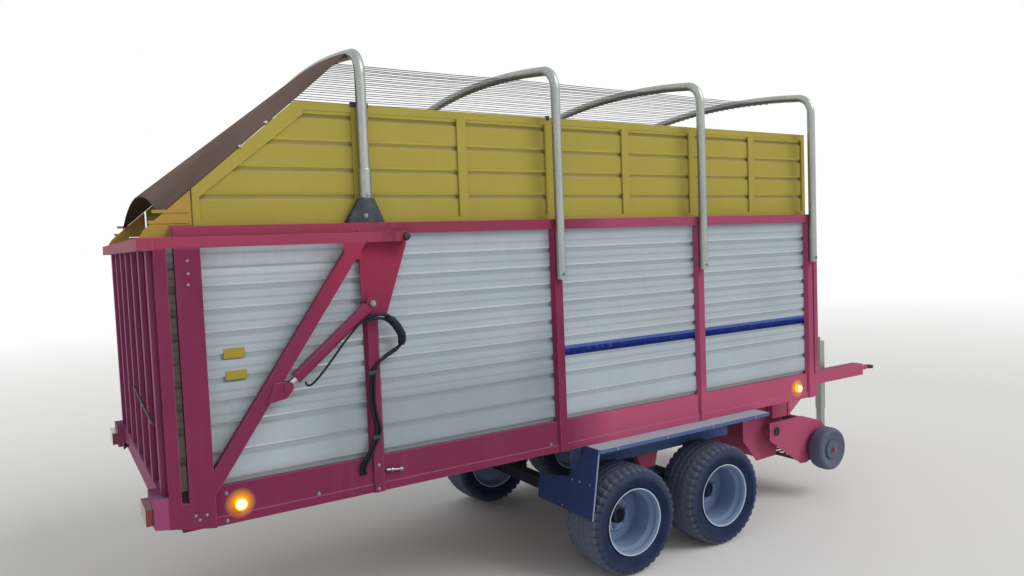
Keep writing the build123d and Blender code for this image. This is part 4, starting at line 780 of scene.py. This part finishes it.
for side_name, side in SIDES.items():
    gate = [bolt((x, side * y, z), (0, side, 0), size) for x, y, z, size in GATE_BOLTS]
    piece(f"gate_bolts_{side_name}", gate, bright, "tailgate")

    wall = [bolt((x, side * y, z), (0, side, 0), size) for x, y, z, size in WALL_BOLTS]
    piece(f"wall_bolts_{side_name}", wall, bright, "wagon")

    cap = tube(on_side(side, CAP), CAP_RADII, 20)
    piece(f"pivot_cap_{side_name}", [cap], cast, "wagon")

    clips = bricks(side, COVER_CLIPS, COVER_CLIP_Y)
    piece(f"cover_clips_{side_name}", clips, zinc, "wagon")

    back = (-np.cos(FLAP_TILT), 0, np.sin(FLAP_TILT))
    flap = [bolt((FLAP_TOP[0] - (FLAP_TOP[1] - z) * np.tan(FLAP_TILT), side * y, z), back, FLAP_BOLT_SIZE)
            for y, z in FLAP_BOLTS]
    piece(f"flap_bolts_{side_name}", flap, bright, "wagon")

    coupling = [tube(on_side(side, COUPLING_BODY), COUPLING_BODY_RADII, 12),
                tube(on_side(side, COUPLING_STEM), COUPLING_STEM_RADIUS, 12),
                tube(on_side(side, COUPLING_NUT), COUPLING_NUT_RADIUS, 6)]
    piece(f"brake_coupling_{side_name}", coupling, bright, "wagon")

    collar = [tube(on_side(side, COLLAR), COLLAR_RADII, 28),
              tube(on_side(side, COLLAR_SCREW), COLLAR_SCREW_RADII, 12)]
    piece(f"bow_collar_{side_name}", collar, zinc, "wagon")

    clips = bricks(side, PANEL_CLIPS, PANEL_CLIP_Y) + bricks(side, HOSE_CLIPS, HOSE_CLIP_Y)
    piece(f"panel_clips_{side_name}", clips, boot_rubber, "wagon")

plates = bricks(SIDES["right"], PLATES, PLATE_Y, PLATE_CHAMFER)
piece("blank_warning_plates", plates, plate_yellow, "wagon")


# Floor: painted pale, and glowing white from 7 to 22 m away, so that it runs into the background

FLOOR_HALF = 60.0
FLOOR_CORNERS = [(-1, -1), (1, -1), (1, 1), (-1, 1)]

floor_mesh = bpy.data.meshes.new("floor")
floor_mesh.from_pydata([(x * FLOOR_HALF, y * FLOOR_HALF, 0) for x, y in FLOOR_CORNERS], [], [(0, 1, 2, 3)])
floor = put("floor", floor_mesh)
pale, tree, place = start("pale_floor")
paint = add(tree, "BsdfPrincipled", {"Base Color": "#dededc", "Roughness": 0.9})
haze = add(tree, "Emission", {"Color": "#ffffff", "Strength": 1.0})
away = add(tree, "VectorMath", (place,), "Value", operation="LENGTH")
mixed = add(tree, "MixShader", (zone(tree, (away, 7.0, 22.0)), paint, haze))
add(tree, "OutputMaterial", {"Surface": mixed})
floor_mesh.materials.append(pale)

# World: white where it is seen, mirrored or looked through to, and dimmer as the light on everything else

SKY_LIGHT = 0.62

world = bpy.data.worlds.new("studio")
bpy.context.scene.world = world
world.use_nodes = True
tree = world.node_tree
tree.nodes.clear()
ray = add(tree, "LightPath").node.outputs
seen = add(tree, "Math", (ray["Is Camera Ray"], ray["Is Glossy Ray"]), operation="MAXIMUM")
seen = add(tree, "Math", (seen, ray["Is Transmission Ray"]), operation="MAXIMUM")
sky = add(tree, "Background", {"Color": "#ffffff", "Strength": zone(tree, (seen, 0.0, 1.0, SKY_LIGHT, 1.0))})
add(tree, "OutputWorld", {"Surface": sky})

# Sun: wide and soft, from above the wagon's right front

SUN_STRENGTH = 1.5
SUN_WIDTH = 0.6
SUN_TOWARD = (-0.45, 0.62, -0.64)

sun_data = bpy.data.lights.new("soft_key", "SUN")
sun_data.energy = SUN_STRENGTH
sun_data.angle = SUN_WIDTH
sun = put("soft_key", sun_data)
toward = np.array(SUN_TOWARD) / np.linalg.norm(SUN_TOWARD)
level = np.cross(toward, (0, 0, 1))
level /= np.linalg.norm(level)
sun.matrix_world = stand(level, np.cross(level, toward), -toward, (0, 0, 0))

bpy.context.scene.view_settings.view_transform = "Standard"
